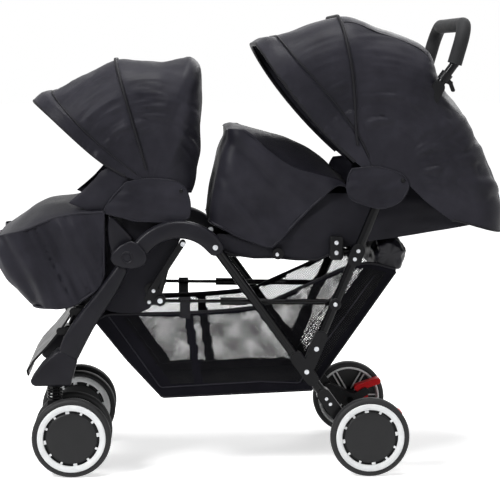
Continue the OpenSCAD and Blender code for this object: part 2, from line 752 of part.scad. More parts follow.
// Side rails
rail_len = norm(D - G);
rail_dir = (D - G) / rail_len;
collar_at = 137;
collar_l = 60;
module rail_rod() {
    rod_end = collar_at + collar_l + 50;
    color(gloss) difference() {
        union() {
            side_rod(G, along(G, rail_dir, rod_end), rail_y, rod_d);
            cross_pin(G, rail_y - 4, rail_y + 6, 22);
        }
        cross_pin(G, rail_y - 10, rail_y + 10, pin_d + 2 * pin_gap);
    }
}
module rail_sleeve() {
    lock_out = tube_y - tube_d / 2 - 3;
    color(gloss) difference() {
        union() {
            side_rod(along(G, rail_dir, collar_at), along(G, rail_dir, collar_at + collar_l), rail_y, collar_d);
            side_rod(along(G, rail_dir, collar_at + collar_l - 4), D, rail_y, rail_d);
            cross_pin(D, rail_y - rail_d / 2, lock_out, 22);
        }
        side_rod(along(G, rail_dir, collar_at - 1), along(G, rail_dir, rail_len - 30), rail_y, rod_d + 2 * slide_gap);
    }
}

// Rear frame
module rear_leg() {
    color(gloss) difference() {
        union() {
            side_rod(A, foot, tube_y, tube_d);
            cross_pin(A, tube_y - tube_d / 2 + 1, tube_y + tube_d / 2 - 1, tube_d + 3);
        }
        cross_pin(A, tube_y - tube_d, tube_y + tube_d, pin_d + 2 * pin_gap);
    }
}
handle_start = 46;
module y_bracket() {
    wall = 4;
    color(black) difference() {
        plate(tube_y - tube_d / 2 - wall, tube_y + tube_d / 2 + wall) {
            bar(along(J, leg_dir, -38), along(J, leg_dir, 22), tube_d / 2 + wall);
            bar(along(J, low_dir, 6), along(J, low_dir, handle_start + 40), tube_d / 2 + wall - 1);
        }
        side_rod(A, foot, tube_y, tube_d + 0.2);
        side_rod(along(J, low_dir, handle_start - 0.2), bend, tube_y, tube_d + 0.2);
    }
}
module handle_tube() {
    color(gloss) {
        side_rod(along(J, low_dir, handle_start), bend, tube_y, tube_d);
        side_rod(along(bend, high_dir, -8), K, tube_y, tube_d - 0.8);
    }
}
clamp_low = 24;
clamp_high = 16;
module handle_clamp() {
    clamp_d = tube_d + 8;
    color(black) difference() {
        union() {
            plate(tube_y - clamp_d / 2, tube_y + clamp_d / 2) {
                bar(along(K, high_dir, -clamp_low), K, clamp_d / 2);
                bar(K, along(K, neck_dir, clamp_high - clamp_d / 2), clamp_d / 2);
            }
        }
        side_rod(along(K, high_dir, -60), along(K, high_dir, 2), tube_y, tube_d + 0.2);
        side_rod(along(K, neck_dir, -2), along(K, neck_dir, 60), tube_y, bar_d + 0.2);
    }
}
// Path of the push bar: necks from the clamps, then the bent bar
module push_bar(d, neck) {
    rise = grip_run - bar_corner;
    pair() {
        if (neck) {
            side_rod(along(K, neck_dir, 2.4), neck_top, tube_y, d);
            ball(neck_top, tube_y, d);
        }
        translate([neck_top[0], 0, neck_top[1]]) rotate([0, grip_lean, 0]) {
            rod([0, tube_y, 0], [0, tube_y, rise], d);
            translate([0, tube_y - bar_corner, rise]) rotate([0, -90, 0])
                rotate_extrude(angle = 90) translate([bar_corner, 0]) circle(d = d);
            rod([0, 0, grip_run], [0, tube_y - bar_corner, grip_run], d);
        }
    }
}
module handle_bar() color(gloss) push_bar(bar_d, true);
module handle_grip() {
    color(foam) difference() {
        push_bar(grip_d, false);
        push_bar(bar_d + 0.4, true);
    }
}
module axle_housing() {
    in = tube_y - tube_d / 2 - 15;
    out = tube_y + tube_d / 2 + 3;
    sleeve_r = tube_d / 2 + 4.5;
    color(black) difference() {
        union() {
            plate(tube_y - sleeve_r, tube_y + sleeve_r)
                bar(along(foot, leg_dir, -80), along(foot, leg_dir, -sleeve_r), sleeve_r);
            plate(in, out) {
                bar(foot, rear_axle_p, 17);
                translate(rear_axle_p) circle(20);
            }
            plate(in + 1, in + 8) bar(rear_axle_p, brake_p, 10);
            cross_pin(brake_p, in + 2, out, pin_d);
        }
        side_rod(along(foot, leg_dir, -200), foot, tube_y, tube_d + 0.2);
        cross_pin(rear_axle_p, 0, out + 5, axle_d + 0.2);
        cross_pin(rear_axle_p, 0, in + 12, 18.4);
    }
}
module rear_axle() {
    in = tube_y - tube_d / 2 - 15;
    tip = rear_track + tyre_w / 2 - 8;
    color(gloss) {
        cross_pin(rear_axle_p, -in - 11, in + 11, 18);
        cross_pin(rear_axle_p, -tip, tip, axle_d);
    }
}
module rear_seat_frame() {
    board_t = 6;
    seat_start = [-rear_seat_front, rear_seat_z];
    ring_l = 22;
    ring_r = tube_d / 2 + 4.5;
    knob_d = 26;
    knob = [54, rear_apron_p[1] - knob_d / 2 - seat_gap];
    color(gloss) difference() {
        union() {
            pair() {
                side_rod(seat_start, F, seat_y, seat_tube_d);
                ball(seat_start, seat_y, seat_tube_d);
                plate(tube_y - ring_r, tube_y + ring_r)
                    bar(along(F, low_dir, -ring_l / 2), along(F, low_dir, ring_l / 2), ring_r);
                plate(seat_y - 6, seat_y + 6) bar(recline_p + [-16, -24], recline_p, 12);
                cross_pin(knob, seat_y, rear_apron_half + 4, knob_d);
            }
            cross_pin(F, ring_r - 2 - tube_y, tube_y - ring_r + 2, seat_tube_d + 2);
            cross_pin(seat_start + [20, 0], -seat_y, seat_y, seat_tube_d - 4);
            translate([seat_start[0], -rear_seat_half, rear_seat_z + 3])
                cube([recline_p[0] - 30 - seat_start[0], 2 * rear_seat_half, board_t]);
        }
        pair() {
            side_rod(along(F, low_dir, -60), along(F, low_dir, 60), tube_y, tube_d + 0.3);
            cross_pin(recline_p, 0, tube_y, pin_d);
        }
    }
}
module rear_seat_cushion() {
    color(cloth) translate([-rear_seat_front + 27, 0, rear_seat_z + 9.5])
        cushion(recline_p[0] - 65 + rear_seat_front, rear_seat_half - 12, rear_cushion_t, 12, [-0.3, 0.35], 0.3);
}
module rear_backrest() {
    color(cloth) translate([recline_p[0], 0, recline_p[1]]) rotate([0, -rear_back_rise, 0])
        backrest(rear_back_l, rear_seat_half, 34);
}
module rear_apron() {
    color(cloth) hood_cloth(rear_apron_p, [for (i = [0 : 16]) -90 + 106 * i / 16],
        function (t) rear_apron_r(t), rear_apron_half, apron_t, 18);
}
module rear_hood_frame() {
    color(gloss) hood_frame(rear_hood_p, rear_hood_half, rear_bow_angles,
        lookup(rear_bow_angles[2], rear_reach), along(bend, high_dir, 22), high_dir, tube_y, tube_d,
        tube_y - tube_d / 2 - 5);
}
module rear_hood_mid_bow() {
    color(gloss) bow(rear_hood_p, rear_bow_angles[1], lookup(rear_bow_angles[1], rear_reach),
        rear_hood_half - bow_in - bow_step, hood_pin_d + 2 * pin_gap);
}
module rear_hood_front_bow() {
    color(gloss) bow(rear_hood_p, rear_bow_angles[0], lookup(rear_bow_angles[0], rear_reach),
        rear_hood_half - bow_in, hood_pin_d + 2 * pin_gap);
}
module rear_canopy() {
    flap = [[-68, 22], [10, 24], [72, -8], [72, -30], [40, -66], [12, -70], [-56, -50], [-78, -16]];
    side_cloth = [[0, 30], [86, 240], [110, 262], [150, 200], [186, 164], [252, 64], [312, -52], [320, -130],
        [220, -110], [130, -60], [76, -6]];
    color(cloth) {
        hood_cloth(rear_hood_p, [-41, -39, -35, -29, -24, -18, -12, -5, 3, 10, 16, 20, 24],
            function (t) lookup(t, rear_reach), rear_hood_half, cloth_t, 20);
        pair() {
            plate(rear_hood_half + 0.3, rear_hood_half + 0.3 + cloth_t) polygon([for (p = flap) rear_hood_p + p]);
            plate(rear_hood_half - 5, rear_hood_half - 5 + cloth_t)
                polygon([for (p = side_cloth) rear_hood_p + p]);
        }
    }
}
module rear_curtain() {
    half = tube_y - tube_d / 2 - 8;
    cols = 16;
    start = 24.1;
    span = 90;
    angles = [for (i = [0 : 12]) start + span * i / 12];
    function reach(t, v) = lookup(t, curtain_reach) - 10 * pow(v, 4) + 3 * sin(540 * v) * (t - start) / span;
    function row(t, thin) = [for (j = [0 : cols]) let (v = -1 + 2 * j / cols, r = reach(t, v) - thin)
        [rear_hood_p[0] + r * sin(t), v * half, rear_hood_p[1] + r * cos(t)]];
    color(cloth) shell([for (t = angles) row(t, 0)], [for (t = angles) row(t, cloth_t)]);
}
module rear_screws() {
    head = 2.5;
    tube_out = tube_y + tube_d / 2;
    bracket_out = tube_out + 4;
    lock_in = tube_y - tube_d / 2;
    color(zinc) pair() {
        cross_pin(D, tube_out + 0.1, tube_out + 3, 25);
        cross_pin(D, lock_in - 2.5, lock_in - 0.1, 16);
        for (p = [J, along(J, low_dir, 57)]) cross_pin(p, bracket_out, bracket_out + head, 11);
        for (s = [-10, 10]) cross_pin(along(F, low_dir, s), tube_out + 4.5, tube_out + 4.5 + head, 9);
        cross_pin(recline_p, rear_seat_half - 26, seat_y + seat_tube_d / 2 + head, pin_d);
        for (s = [-70, -55]) cross_pin(along(foot, leg_dir, s), tube_out + 4.5, tube_out + 4.5 + head, 8);
    }
}
module fold_trigger() {
    start = clamp_high + 4;
    length = 20;
    side_dir = [neck_dir[1], -neck_dir[0]];
    ring_d = bar_d + 8;
    hook = along(K, neck_dir, start + 6) + 18 * side_dir;
    color(black) difference() {
        union() {
            side_rod(along(K, neck_dir, start), along(K, neck_dir, start + length), tube_y, ring_d);
            plate(tube_y - 6, tube_y + 6) {
                bar(along(K, neck_dir, start + 6), hook, 5);
                bar(hook, hook + [6, -16], 4);
            }
        }
        side_rod(K, along(K, neck_dir, start + length + 20), tube_y, bar_d + 2 * slide_gap);
    }
}
module brake_pedal() {
    in = tube_y - tube_d / 2 - 6;
    out = tube_y + tube_d / 2 + 2;
    color(brake_red) plate(in, out) difference() {
        union() {
            translate(brake_p) circle(10);
            bar(brake_p + [-18, 8], brake_p + [32, 25], 8);
            bar(brake_p + [2, 12], brake_p + [2, -18], 6);
        }
        translate(brake_p) circle(d = pin_d + 2 * pin_gap);
    }
}

left() front_leg();  // front_leg_left
front_leg();  // front_leg_right
left() arm();  // arm_left
arm();  // arm_right
pair() elbow_cover();  // elbow_covers
bumper_bar();
step_plate();
front_seat_tubes();
pair() seat_bracket();  // seat_brackets
front_seat_cushion();
front_apron();
front_hood_frame();
front_canopy();
basket();
front_screws();
front_hood_mid_bow();
front_hood_front_bow();
front_backrest();
left() caster_fork();  // caster_fork_left
caster_fork();  // caster_fork_right
left() caster_spring();  // caster_spring_left
caster_spring();  // caster_spring_right
left() front_tyre(1);  // front_tyre_left_outer
left() front_tyre(-1);  // front_tyre_left_inner
front_tyre(1);  // front_tyre_right_outer
front_tyre(-1);  // front_tyre_right_inner
left() front_wheel(1);  // front_wheel_left_outer
left() front_wheel(-1);  // front_wheel_left_inner
front_wheel(1);  // front_wheel_right_outer
front_wheel(-1);  // front_wheel_right_inner
pair() rail_rod();  // rail_rods
pair() rail_sleeve();  // rail_sleeves
left() rear_leg();  // rear_leg_left
rear_leg();  // rear_leg_right
pair() y_bracket();  // y_brackets
left() handle_tube();  // handle_tube_left
handle_tube();  // handle_tube_right
pair() handle_clamp();  // handle_clamps
handle_bar();
handle_grip();
pair() axle_housing();  // axle_housings
rear_axle();
rear_seat_frame();
rear_seat_cushion();
rear_apron();
rear_hood_frame();
rear_canopy();
rear_curtain();
rear_screws();
rear_hood_mid_bow();
rear_hood_front_bow();
rear_backrest();
left() rear_tyre();  // rear_tyre_left
rear_tyre();  // rear_tyre_right
left() rear_wheel();  // rear_wheel_left
rear_wheel();  // rear_wheel_right
left() fold_trigger();  // fold_trigger_left
fold_trigger();  // fold_trigger_right
left() brake_pedal();  // brake_pedal_left
brake_pedal();  // brake_pedal_right
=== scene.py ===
import math

import bpy
from mathutils import Matrix, Vector, noise


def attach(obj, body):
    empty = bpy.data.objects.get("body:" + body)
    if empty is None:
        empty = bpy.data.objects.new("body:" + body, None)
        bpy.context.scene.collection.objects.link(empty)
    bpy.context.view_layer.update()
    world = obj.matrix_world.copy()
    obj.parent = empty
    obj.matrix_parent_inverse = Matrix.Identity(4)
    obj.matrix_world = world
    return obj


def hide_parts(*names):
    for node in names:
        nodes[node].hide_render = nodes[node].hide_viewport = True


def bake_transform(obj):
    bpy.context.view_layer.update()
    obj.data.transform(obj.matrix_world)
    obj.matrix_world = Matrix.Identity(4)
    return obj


MM = 0.001
SOFT_ANGLE = 60
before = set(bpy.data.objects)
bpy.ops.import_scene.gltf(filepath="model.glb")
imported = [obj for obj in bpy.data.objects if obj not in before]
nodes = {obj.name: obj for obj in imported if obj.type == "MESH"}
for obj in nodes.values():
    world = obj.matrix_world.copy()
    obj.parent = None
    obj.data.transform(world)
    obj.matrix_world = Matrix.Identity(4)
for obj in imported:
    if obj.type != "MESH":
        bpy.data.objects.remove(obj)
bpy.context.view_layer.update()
SIDES = {"left": -1, "right": 1}

# Camera of the photograph, as eye point, aim and lens
EYE = (-0.2027, -4.3328, 0.9586)
AIM = (0.0465, 1.0, -0.1078)
LENS_MM = 132
SENSOR_MM = 36


# Hand tools

def deselect():
    bpy.ops.object.select_all(action="DESELECT")


def pick(piece):
    deselect()
    piece.select_set(True)
    bpy.context.view_layer.objects.active = piece


def apply_modifier(piece, kind, **values):
    pick(piece)
    modifier = piece.modifiers.new(kind.lower(), kind)
    for key, value in values.items():
        setattr(modifier, key, value)
    bpy.ops.object.modifier_apply(modifier=modifier.name)


def smooth(piece, angle=40):
    pick(piece)
    bpy.ops.object.shade_smooth_by_angle(angle=math.radians(angle))


def edit(piece, operator, **values):
    """Runs an edit-mode operator on all of a piece."""
    pick(piece)
    bpy.ops.object.mode_set(mode="EDIT")
    bpy.ops.mesh.select_all(action="SELECT")
    operator(**values)
    bpy.ops.object.mode_set(mode="OBJECT")


def outward(piece):
    """Merges a closed piece's double points and points its faces outwards."""
    edit(piece, bpy.ops.mesh.remove_doubles, threshold=1e-6)
    edit(piece, bpy.ops.mesh.normals_make_consistent, inside=False)


def join(name, pieces):
    deselect()
    for piece in pieces:
        piece.select_set(True)
    bpy.context.view_layer.objects.active = pieces[0]
    bpy.ops.object.join()
    pieces[0].name = name
    return pieces[0]


def mirrored(piece):
    piece.data.transform(Matrix.Diagonal((1, -1, 1, 1)))
    piece.data.flip_normals()
    return piece


def moved(piece, place, turn=0):
    """Turns a piece about Y by degrees and moves it to place, inside its mesh."""
    piece.data.transform(Matrix.Translation(Vector(place) * MM) @ Matrix.Rotation(math.radians(turn), 4, "Y"))
    return piece


def copy_of(piece, name, place, facing):
    """Copy with its own mesh, moved to place and turned to the side it faces."""
    twin = piece.copy()
    twin.data = piece.data.copy()
    twin.name = name
    bpy.context.scene.collection.objects.link(twin)
    return moved(mirrored(twin) if facing < 0 else twin, place)


def fit(piece, body, material, slot, *stands_for):
    """Gives a piece its finish, the CAD nodes it stands for, and the body it rides on. Its slot is not used.
    """
    piece.data.materials.clear()
    piece.data.materials.append(material)
    if stands_for:
        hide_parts(*stands_for)
    if body:
        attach(piece, body)
    return piece


def sheet(name, across, along, place, size):
    """Grid whose point at u, v lies at place(u, v), in millimetres. Its UV map is in metres."""
    deselect()
    bpy.ops.mesh.primitive_grid_add(x_subdivisions=across, y_subdivisions=along, size=2)
    piece = bpy.context.object
    piece.name = name
    for vert in piece.data.vertices:
        u, v = (vert.co.x + 1) / 2, (vert.co.y + 1) / 2
        vert.co = Vector(place(u, v)) * MM
    for loop in piece.data.uv_layers.active.data:
        loop.uv = (loop.uv[0] * size[0], loop.uv[1] * size[1])
    return piece


def crease(piece, depth):
    """Moves every point of a sheet along its normal by depth(point), in millimetres."""
    moves = [vert.normal * depth(vert.co / MM) * MM for vert in piece.data.vertices]
    for vert, move in zip(piece.data.vertices, moves):
        vert.co += move


def face_along(piece, direction):
    """Turns a sheet's faces so that most look along direction(face's centre in millimetres)."""
    total = sum(direction(face.center / MM).dot(face.normal) * face.area for face in piece.data.polygons)
    if total < 0:
        piece.data.flip_normals()


def face_side(piece, sign):
    face_along(piece, lambda centre: Vector((0, sign, 0)))


def thicken(piece, thickness, offset=-1):
    """Gives a cloth its thickness and its soft shading."""
    apply_modifier(piece, "SOLIDIFY", thickness=thickness * MM, offset=offset)
    smooth(piece, SOFT_ANGLE)


def tube(name, points, radius, closed=False, sides=4):
    """Round tube along points in millimetres."""
    curve = bpy.data.curves.new(name, "CURVE")
    curve.dimensions = "3D"
    curve.bevel_depth = radius * MM
    curve.bevel_resolution = sides
    curve.use_fill_caps = not closed
    spline = curve.splines.new("POLY")
    spline.points.add(len(points) - 1)
    for point, place in zip(spline.points, points):
        point.co = (*(Vector(place) * MM), 1)
    spline.use_cyclic_u = closed
    piece = bpy.data.objects.new(name, curve)
    bpy.context.scene.collection.objects.link(piece)
    pick(piece)
    bpy.ops.object.convert(target="MESH")
    piece = bpy.context.object
    piece.name = name
    bpy.ops.object.shade_smooth()
    return piece


def slab(name, outline, span, sign, bevel, segments=3):
    """Outline in the side view, extruded over a span of one side's width, with rounded edges."""
    y0, y1 = sign * span[0], sign * span[1]
    deselect()
    bpy.ops.mesh.primitive_circle_add(vertices=len(outline), radius=1, fill_type="NGON")
    piece = bpy.context.object
    piece.name = name
    for vert, (x, z) in zip(piece.data.vertices, outline):
        vert.co = Vector((x, y0, z)) * MM
    edit(piece, bpy.ops.mesh.extrude_region_move, TRANSFORM_OT_translate={"value": (0, (y1 - y0) * MM, 0)})
    outward(piece)
    apply_modifier(piece, "BEVEL", width=bevel * MM, segments=segments, limit_method="ANGLE",
                   angle_limit=math.radians(50))
    smooth(piece)
    return piece


def turned(name, profile, steps=96):
    """Closed profile of (radius, y) points spun round the Y axis."""
    deselect()
    bpy.ops.mesh.primitive_circle_add(vertices=len(profile), radius=1, fill_type="NOTHING")
    piece = bpy.context.object
    piece.name = name
    for vert, (radius, y) in zip(piece.data.vertices, profile):
        vert.co = Vector((radius, y, 0)) * MM
    edit(piece, bpy.ops.mesh.spin, steps=steps, angle=2 * math.pi, center=(0, 0, 0), axis=(0, 1, 0))
    outward(piece)
    smooth(piece, 35)
    return piece


def turned_at(place, name, profile, steps):
    """Turned piece moved to place, facing out from the side it lies on."""
    piece = turned(name, profile, steps)
    return moved(mirrored(piece) if place[1] < 0 else piece, place)


def plain_box(name, size, centre):
    deselect()
    bpy.ops.mesh.primitive_cube_add(size=1)
    piece = bpy.context.object
    piece.name = name
    piece.scale = Vector(size) * MM
    piece.location = Vector(centre) * MM
    pick(piece)
    bpy.ops.object.transform_apply(location=True, rotation=True, scale=True)
    return piece


def block(name, size, centre, bevel):
    piece = plain_box(name, size, centre)
    apply_modifier(piece, "BEVEL", width=bevel * MM, segments=2)
    smooth(piece)
    return piece


def table_value(table, t):
    """Smooth curve through the (t, value) rows of a table."""
    if t <= table[0][0]:
        return table[0][1]
    if t >= table[-1][0]:
        return table[-1][1]
    for i in range(len(table) - 1):
        t0, v0 = table[i]
        t1, v1 = table[i + 1]
        if t <= t1:
            break
    slope = (v1 - v0) / (t1 - t0)
    before = (v0 - table[i - 1][1]) / (t0 - table[i - 1][0]) if i else slope
    after = (table[i + 2][1] - v1) / (table[i + 2][0] - t1) if i + 2 < len(table) else slope
    m0 = 0 if before * slope <= 0 else 2 * before * slope / (before + slope)
    m1 = 0 if after * slope <= 0 else 2 * after * slope / (after + slope)
    h = t1 - t0
    q = (t - t0) / h
    return (v0 * (1 + 2 * q) * (1 - q) ** 2 + m0 * h * q * (1 - q) ** 2
            + v1 * q * q * (3 - 2 * q) + m1 * h * q * q * (q - 1))


def mix(a, b, q):
    return a + (b - a) * q


def clamp(q):
    return min(max(q, 0), 1)


def ease(q):
    q = clamp(q)
    return q * q * (3 - 2 * q)


def even_steps(count):
    """Even steps from nought to one."""
    return [i / (count - 1) for i in range(count)]


def wrinkle(x, y, z):
    return noise.noise(Vector((x, y, z)))


def at_y(points, y=0):
    """Side-view points set at a distance from the middle."""
    return [(x, y, z) for x, z in points]


def shifted(outline, centre, scale=1):
    return [(centre[0] + scale * x, centre[1] + scale * z) for x, z in outline]


def arc(centre, radius, first, last, count):
    """Side-view points of an arc between two angles in degrees."""
    turns = [math.radians(mix(first, last, q)) for q in even_steps(count)]
    return [(centre[0] + radius * math.cos(a), centre[1] + radius * math.sin(a)) for a in turns]


def line_points(points, count):
    """Even points along a smooth line through a few points."""
    run = [0]
    for a, b in zip(points, points[1:]):
        run.append(run[-1] + (Vector(b) - Vector(a)).length)
    tables = [[(r, p[k]) for r, p in zip(run, points)] for k in range(3)]
    return [tuple(table_value(table, run[-1] * i / (count - 1)) for table in tables) for i in range(count)]


def straight_points(points, count):
    """Even points along straight runs through a few points."""
    runs = [(Vector(b) - Vector(a)).length for a, b in zip(points, points[1:])]
    found = []
    for i in range(count):
        left = sum(runs) * i / (count - 1)
        for run, a, b in zip(runs, points, points[1:]):
            if left <= run + 1e-6:
                break
            left -= run
        found.append(tuple(Vector(a).lerp(Vector(b), left / run)))
    return found


# Finishes

VECTOR, FLOAT, COLOR = "NodeSocketVector", "NodeSocketFloat", "NodeSocketColor"


def set_inputs(node, values):
    for label, value in values.items():
        node.inputs[label].default_value = value


def shader_group(name, inputs, outputs):
    """Node group with its sockets, and the nodes it starts and ends with."""
    group = bpy.data.node_groups.new(name, "ShaderNodeTree")
    for label, kind, value in inputs:
        socket = group.interface.new_socket(label, in_out="INPUT", socket_type=kind)
        if value is not None:
            socket.default_value = value
    for label, kind in outputs:
        group.interface.new_socket(label, in_out="OUTPUT", socket_type=kind)
    return group, group.nodes.new("NodeGroupInput"), group.nodes.new("NodeGroupOutput")


def feed(group, start, node):
    """Gives a texture node its group's vector and scale."""
    for label in ("Vector", "Scale"):
        group.links.new(start.outputs[label], node.inputs[label])


def math_node(tree, operation, a, b):
    node = tree.nodes.new("ShaderNodeMath")
    node.operation = operation
    tree.links.new(a, node.inputs[0])
    tree.links.new(b, node.inputs[1])
    return node.outputs[0]


def weave_group():
    """Plain weave: two crossing sets of threads."""
    group, start, end = shader_group("thread_weave", [("Vector", VECTOR, None), ("Scale", FLOAT, 260.0)],
                                     [("Height", FLOAT)])
    bands = []
    for direction in ("X", "Y"):
        wave = group.nodes.new("ShaderNodeTexWave")
        wave.bands_direction = direction
        wave.inputs["Distortion"].default_value = 0.4
        feed(group, start, wave)
        bands.append(wave.outputs["Fac"])
    group.links.new(math_node(group, "MULTIPLY", *bands), end.inputs["Height"])
    return group


def tone_group():
    """Soft patches between two colours, with a mask for the roughness."""
    group, start, end = shader_group("worn_tone", [("Vector", VECTOR, None),
                                                   ("Dark", COLOR, (0.02, 0.02, 0.02, 1)),
                                                   ("Light", COLOR, (0.03, 0.03, 0.03, 1)),
                                                   ("Scale", FLOAT, 14.0)],
                                     [("Color", COLOR), ("Mask", FLOAT)])
    cloud = group.nodes.new("ShaderNodeTexNoise")
    set_inputs(cloud, {"Detail": 5, "Roughness": 0.62})
    feed(group, start, cloud)
    spread = group.nodes.new("ShaderNodeMapRange")
    set_inputs(spread, {"From Min": 0.35, "From Max": 0.68})
    group.links.new(cloud.outputs["Fac"], spread.inputs["Value"])
    blend = group.nodes.new("ShaderNodeMix")
    blend.data_type = "RGBA"
    group.links.new(spread.outputs["Result"], blend.inputs[0])
    group.links.new(start.outputs["Dark"], blend.inputs[6])
    group.links.new(start.outputs["Light"], blend.inputs[7])
    group.links.new(blend.outputs[2], end.inputs["Color"])
    group.links.new(spread.outputs["Result"], end.inputs["Mask"])
    return group


def grain_group():
    """Fine pebble of moulded plastic, foam and rubber."""
    group, start, end = shader_group("moulded_grain", [("Vector", VECTOR, None), ("Scale", FLOAT, 900.0)],
                                     [("Height", FLOAT)])
    cells = group.nodes.new("ShaderNodeTexVoronoi")
    cloud = group.nodes.new("ShaderNodeTexNoise")
    cloud.inputs["Detail"].default_value = 3
    for node in (cells, cloud):
        feed(group, start, node)
    height = math_node(group, "ADD", cells.outputs["Distance"], cloud.outputs["Fac"])
    group.links.new(height, end.inputs["Height"])
    return group


def net_group():
    """Threads of a knitted net, round uneven holes."""
    group, start, end = shader_group("knitted_net", [("Vector", VECTOR, None), ("Pitch", FLOAT, 300.0),
                                                     ("Thread", FLOAT, 0.33)],
                                     [("Cover", FLOAT)])
    cells = group.nodes.new("ShaderNodeTexVoronoi")
    cells.feature = "DISTANCE_TO_EDGE"
    cells.voronoi_dimensions = "2D"
    cells.inputs["Randomness"].default_value = 0.55
    turn = group.nodes.new("ShaderNodeMapping")
    turn.inputs["Rotation"].default_value = (0, 0, math.radians(45))
    group.links.new(start.outputs["Vector"], turn.inputs["Vector"])
    group.links.new(turn.outputs["Vector"], cells.inputs["Vector"])
    group.links.new(start.outputs["Pitch"], cells.inputs["Scale"])
    cover = math_node(group, "LESS_THAN", cells.outputs["Distance"], start.outputs["Thread"])
    group.links.new(cover, end.inputs["Cover"])
    return group


WEAVE, TONE, GRAIN, NET = weave_group(), tone_group(), grain_group(), net_group()


def new_material(name):
    material = bpy.data.materials.new(name)
    material.use_nodes = True
    return material, material.node_tree, material.node_tree.nodes["Principled BSDF"]


def placed_group(tree, group, vector, **values):
    node = tree.nodes.new("ShaderNodeGroup")
    node.node_tree = group
    set_inputs(node, values)
    tree.links.new(vector, node.inputs["Vector"])
    return node


def finish_of(name, dark, light, rough, scale, bump, uv=False, **plain):
    """Material with patches of two colours, a bump group and plain values on its shader."""
    material, tree, shader = new_material(name)
    set_inputs(shader, {label.replace("_", " "): value for label, value in plain.items()})
    where = tree.nodes.new("ShaderNodeTexCoord")
    tone = placed_group(tree, TONE, where.outputs["Object"], Dark=(*dark, 1), Light=(*light, 1), Scale=scale)
    tree.links.new(tone.outputs["Color"], shader.inputs["Base Color"])
    span = tree.nodes.new("ShaderNodeMapRange")
    set_inputs(span, {"To Min": rough[0], "To Max": rough[1]})
    tree.links.new(tone.outputs["Mask"], span.inputs["Value"])
    tree.links.new(span.outputs["Result"], shader.inputs["Roughness"])
    group, group_scale, strength, depth = bump
    relief = placed_group(tree, group, where.outputs["UV" if uv else "Object"], Scale=group_scale)
    bump_node = tree.nodes.new("ShaderNodeBump")
    set_inputs(bump_node, {"Strength": strength, "Distance": depth})
    tree.links.new(relief.outputs["Height"], bump_node.inputs["Height"])
    tree.links.new(bump_node.outputs["Normal"], shader.inputs["Normal"])
    return material


TAPE_GRAIN = (GRAIN, 1200.0, 0.2, 0.0002)
FINE_GRAIN = (GRAIN, 1500.0, 0.12, 0.00015)
HOOD_CLOTH = finish_of("hood cloth", (0.0078, 0.0075, 0.0110), (0.0190, 0.0184, 0.0245), (0.38, 0.52), 9.0,
                       (WEAVE, 230.0, 0.25, 0.0004), True, Specular_IOR_Level=0.09, Sheen_Weight=0.02)
SEAT_CLOTH = finish_of("seat cloth", (0.0055, 0.0053, 0.0078), (0.0105, 0.0102, 0.0140), (0.60, 0.74), 12.0,
                       (WEAVE, 200.0, 0.3, 0.0005), True, Specular_IOR_Level=0.12, Sheen_Weight=0.03)
BASKET_CLOTH = finish_of("basket cloth", (0.0026, 0.0025, 0.0042), (0.0052, 0.0050, 0.0074), (0.56, 0.7),
                         12.0, (WEAVE, 160.0, 0.35, 0.0006), True, Specular_IOR_Level=0.04,
                         Sheen_Weight=0.01)
BINDING = finish_of("binding tape", (0.0040, 0.0038, 0.0054), (0.0068, 0.0066, 0.0085), (0.5, 0.62), 40.0,
                    TAPE_GRAIN, Specular_IOR_Level=0.14)
PIPING = finish_of("flap piping", (0.0085, 0.0082, 0.0118), (0.0150, 0.0146, 0.0195), (0.42, 0.54), 40.0,
                   TAPE_GRAIN, Specular_IOR_Level=0.12)
NYLON = finish_of("pocket nylon", (0.0042, 0.0040, 0.0060), (0.0085, 0.0082, 0.0115), (0.34, 0.48), 30.0,
                  (WEAVE, 220.0, 0.2, 0.0003), True, Specular_IOR_Level=0.22)
LEG_PLASTIC = finish_of("moulded leg plastic", (0.0062, 0.0060, 0.0084), (0.0094, 0.0091, 0.0120),
                        (0.30, 0.42), 20.0, FINE_GRAIN, Specular_IOR_Level=0.12)
DARK_PLASTIC = finish_of("bracket plastic", (0.0028, 0.0028, 0.0034), (0.0050, 0.0050, 0.0058),
                         (0.30, 0.42), 25.0, FINE_GRAIN, Specular_IOR_Level=0.12)
TUBE_PAINT = finish_of("gloss tube paint", (0.0016, 0.0016, 0.0022), (0.0026, 0.0026, 0.0034), (0.08, 0.14),
                       30.0, (GRAIN, 500.0, 0.03, 0.0001), Specular_IOR_Level=0.03, Coat_Weight=0.2,
                       Coat_Roughness=0.05)
FOAM = finish_of("grip foam", (0.012, 0.0123, 0.0132), (0.018, 0.0184, 0.0195), (0.62, 0.78), 60.0,
                 (GRAIN, 700.0, 0.4, 0.0006), Specular_IOR_Level=0.15)
ZINC = finish_of("bright zinc", (0.38, 0.39, 0.41), (0.52, 0.53, 0.55), (0.26, 0.40), 120.0,
                 (GRAIN, 900.0, 0.05, 0.0001), Metallic=1.0)
TYRE_RUBBER = finish_of("tyre rubber", (0.008, 0.008, 0.0086), (0.013, 0.013, 0.0138), (0.5, 0.68), 40.0,
                        (GRAIN, 1100.0, 0.2, 0.0002), Specular_IOR_Level=0.25)
RIM_SILVER = finish_of("pale rim", (0.60, 0.61, 0.62), (0.70, 0.71, 0.71), (0.28, 0.4), 30.0,
                       (GRAIN, 1300.0, 0.04, 0.0001))
CAP_PLASTIC = finish_of("wheel cap plastic", (0.007, 0.0072, 0.0078), (0.010, 0.0103, 0.011), (0.42, 0.52),
                        25.0, (GRAIN, 1400.0, 0.15, 0.00015), Specular_IOR_Level=0.22)
BRAKE_RED = finish_of("brake red", (0.52, 0.006, 0.009), (0.64, 0.009, 0.013), (0.3, 0.42), 40.0,
                      (GRAIN, 1400.0, 0.08, 0.00015), Specular_IOR_Level=0.12)


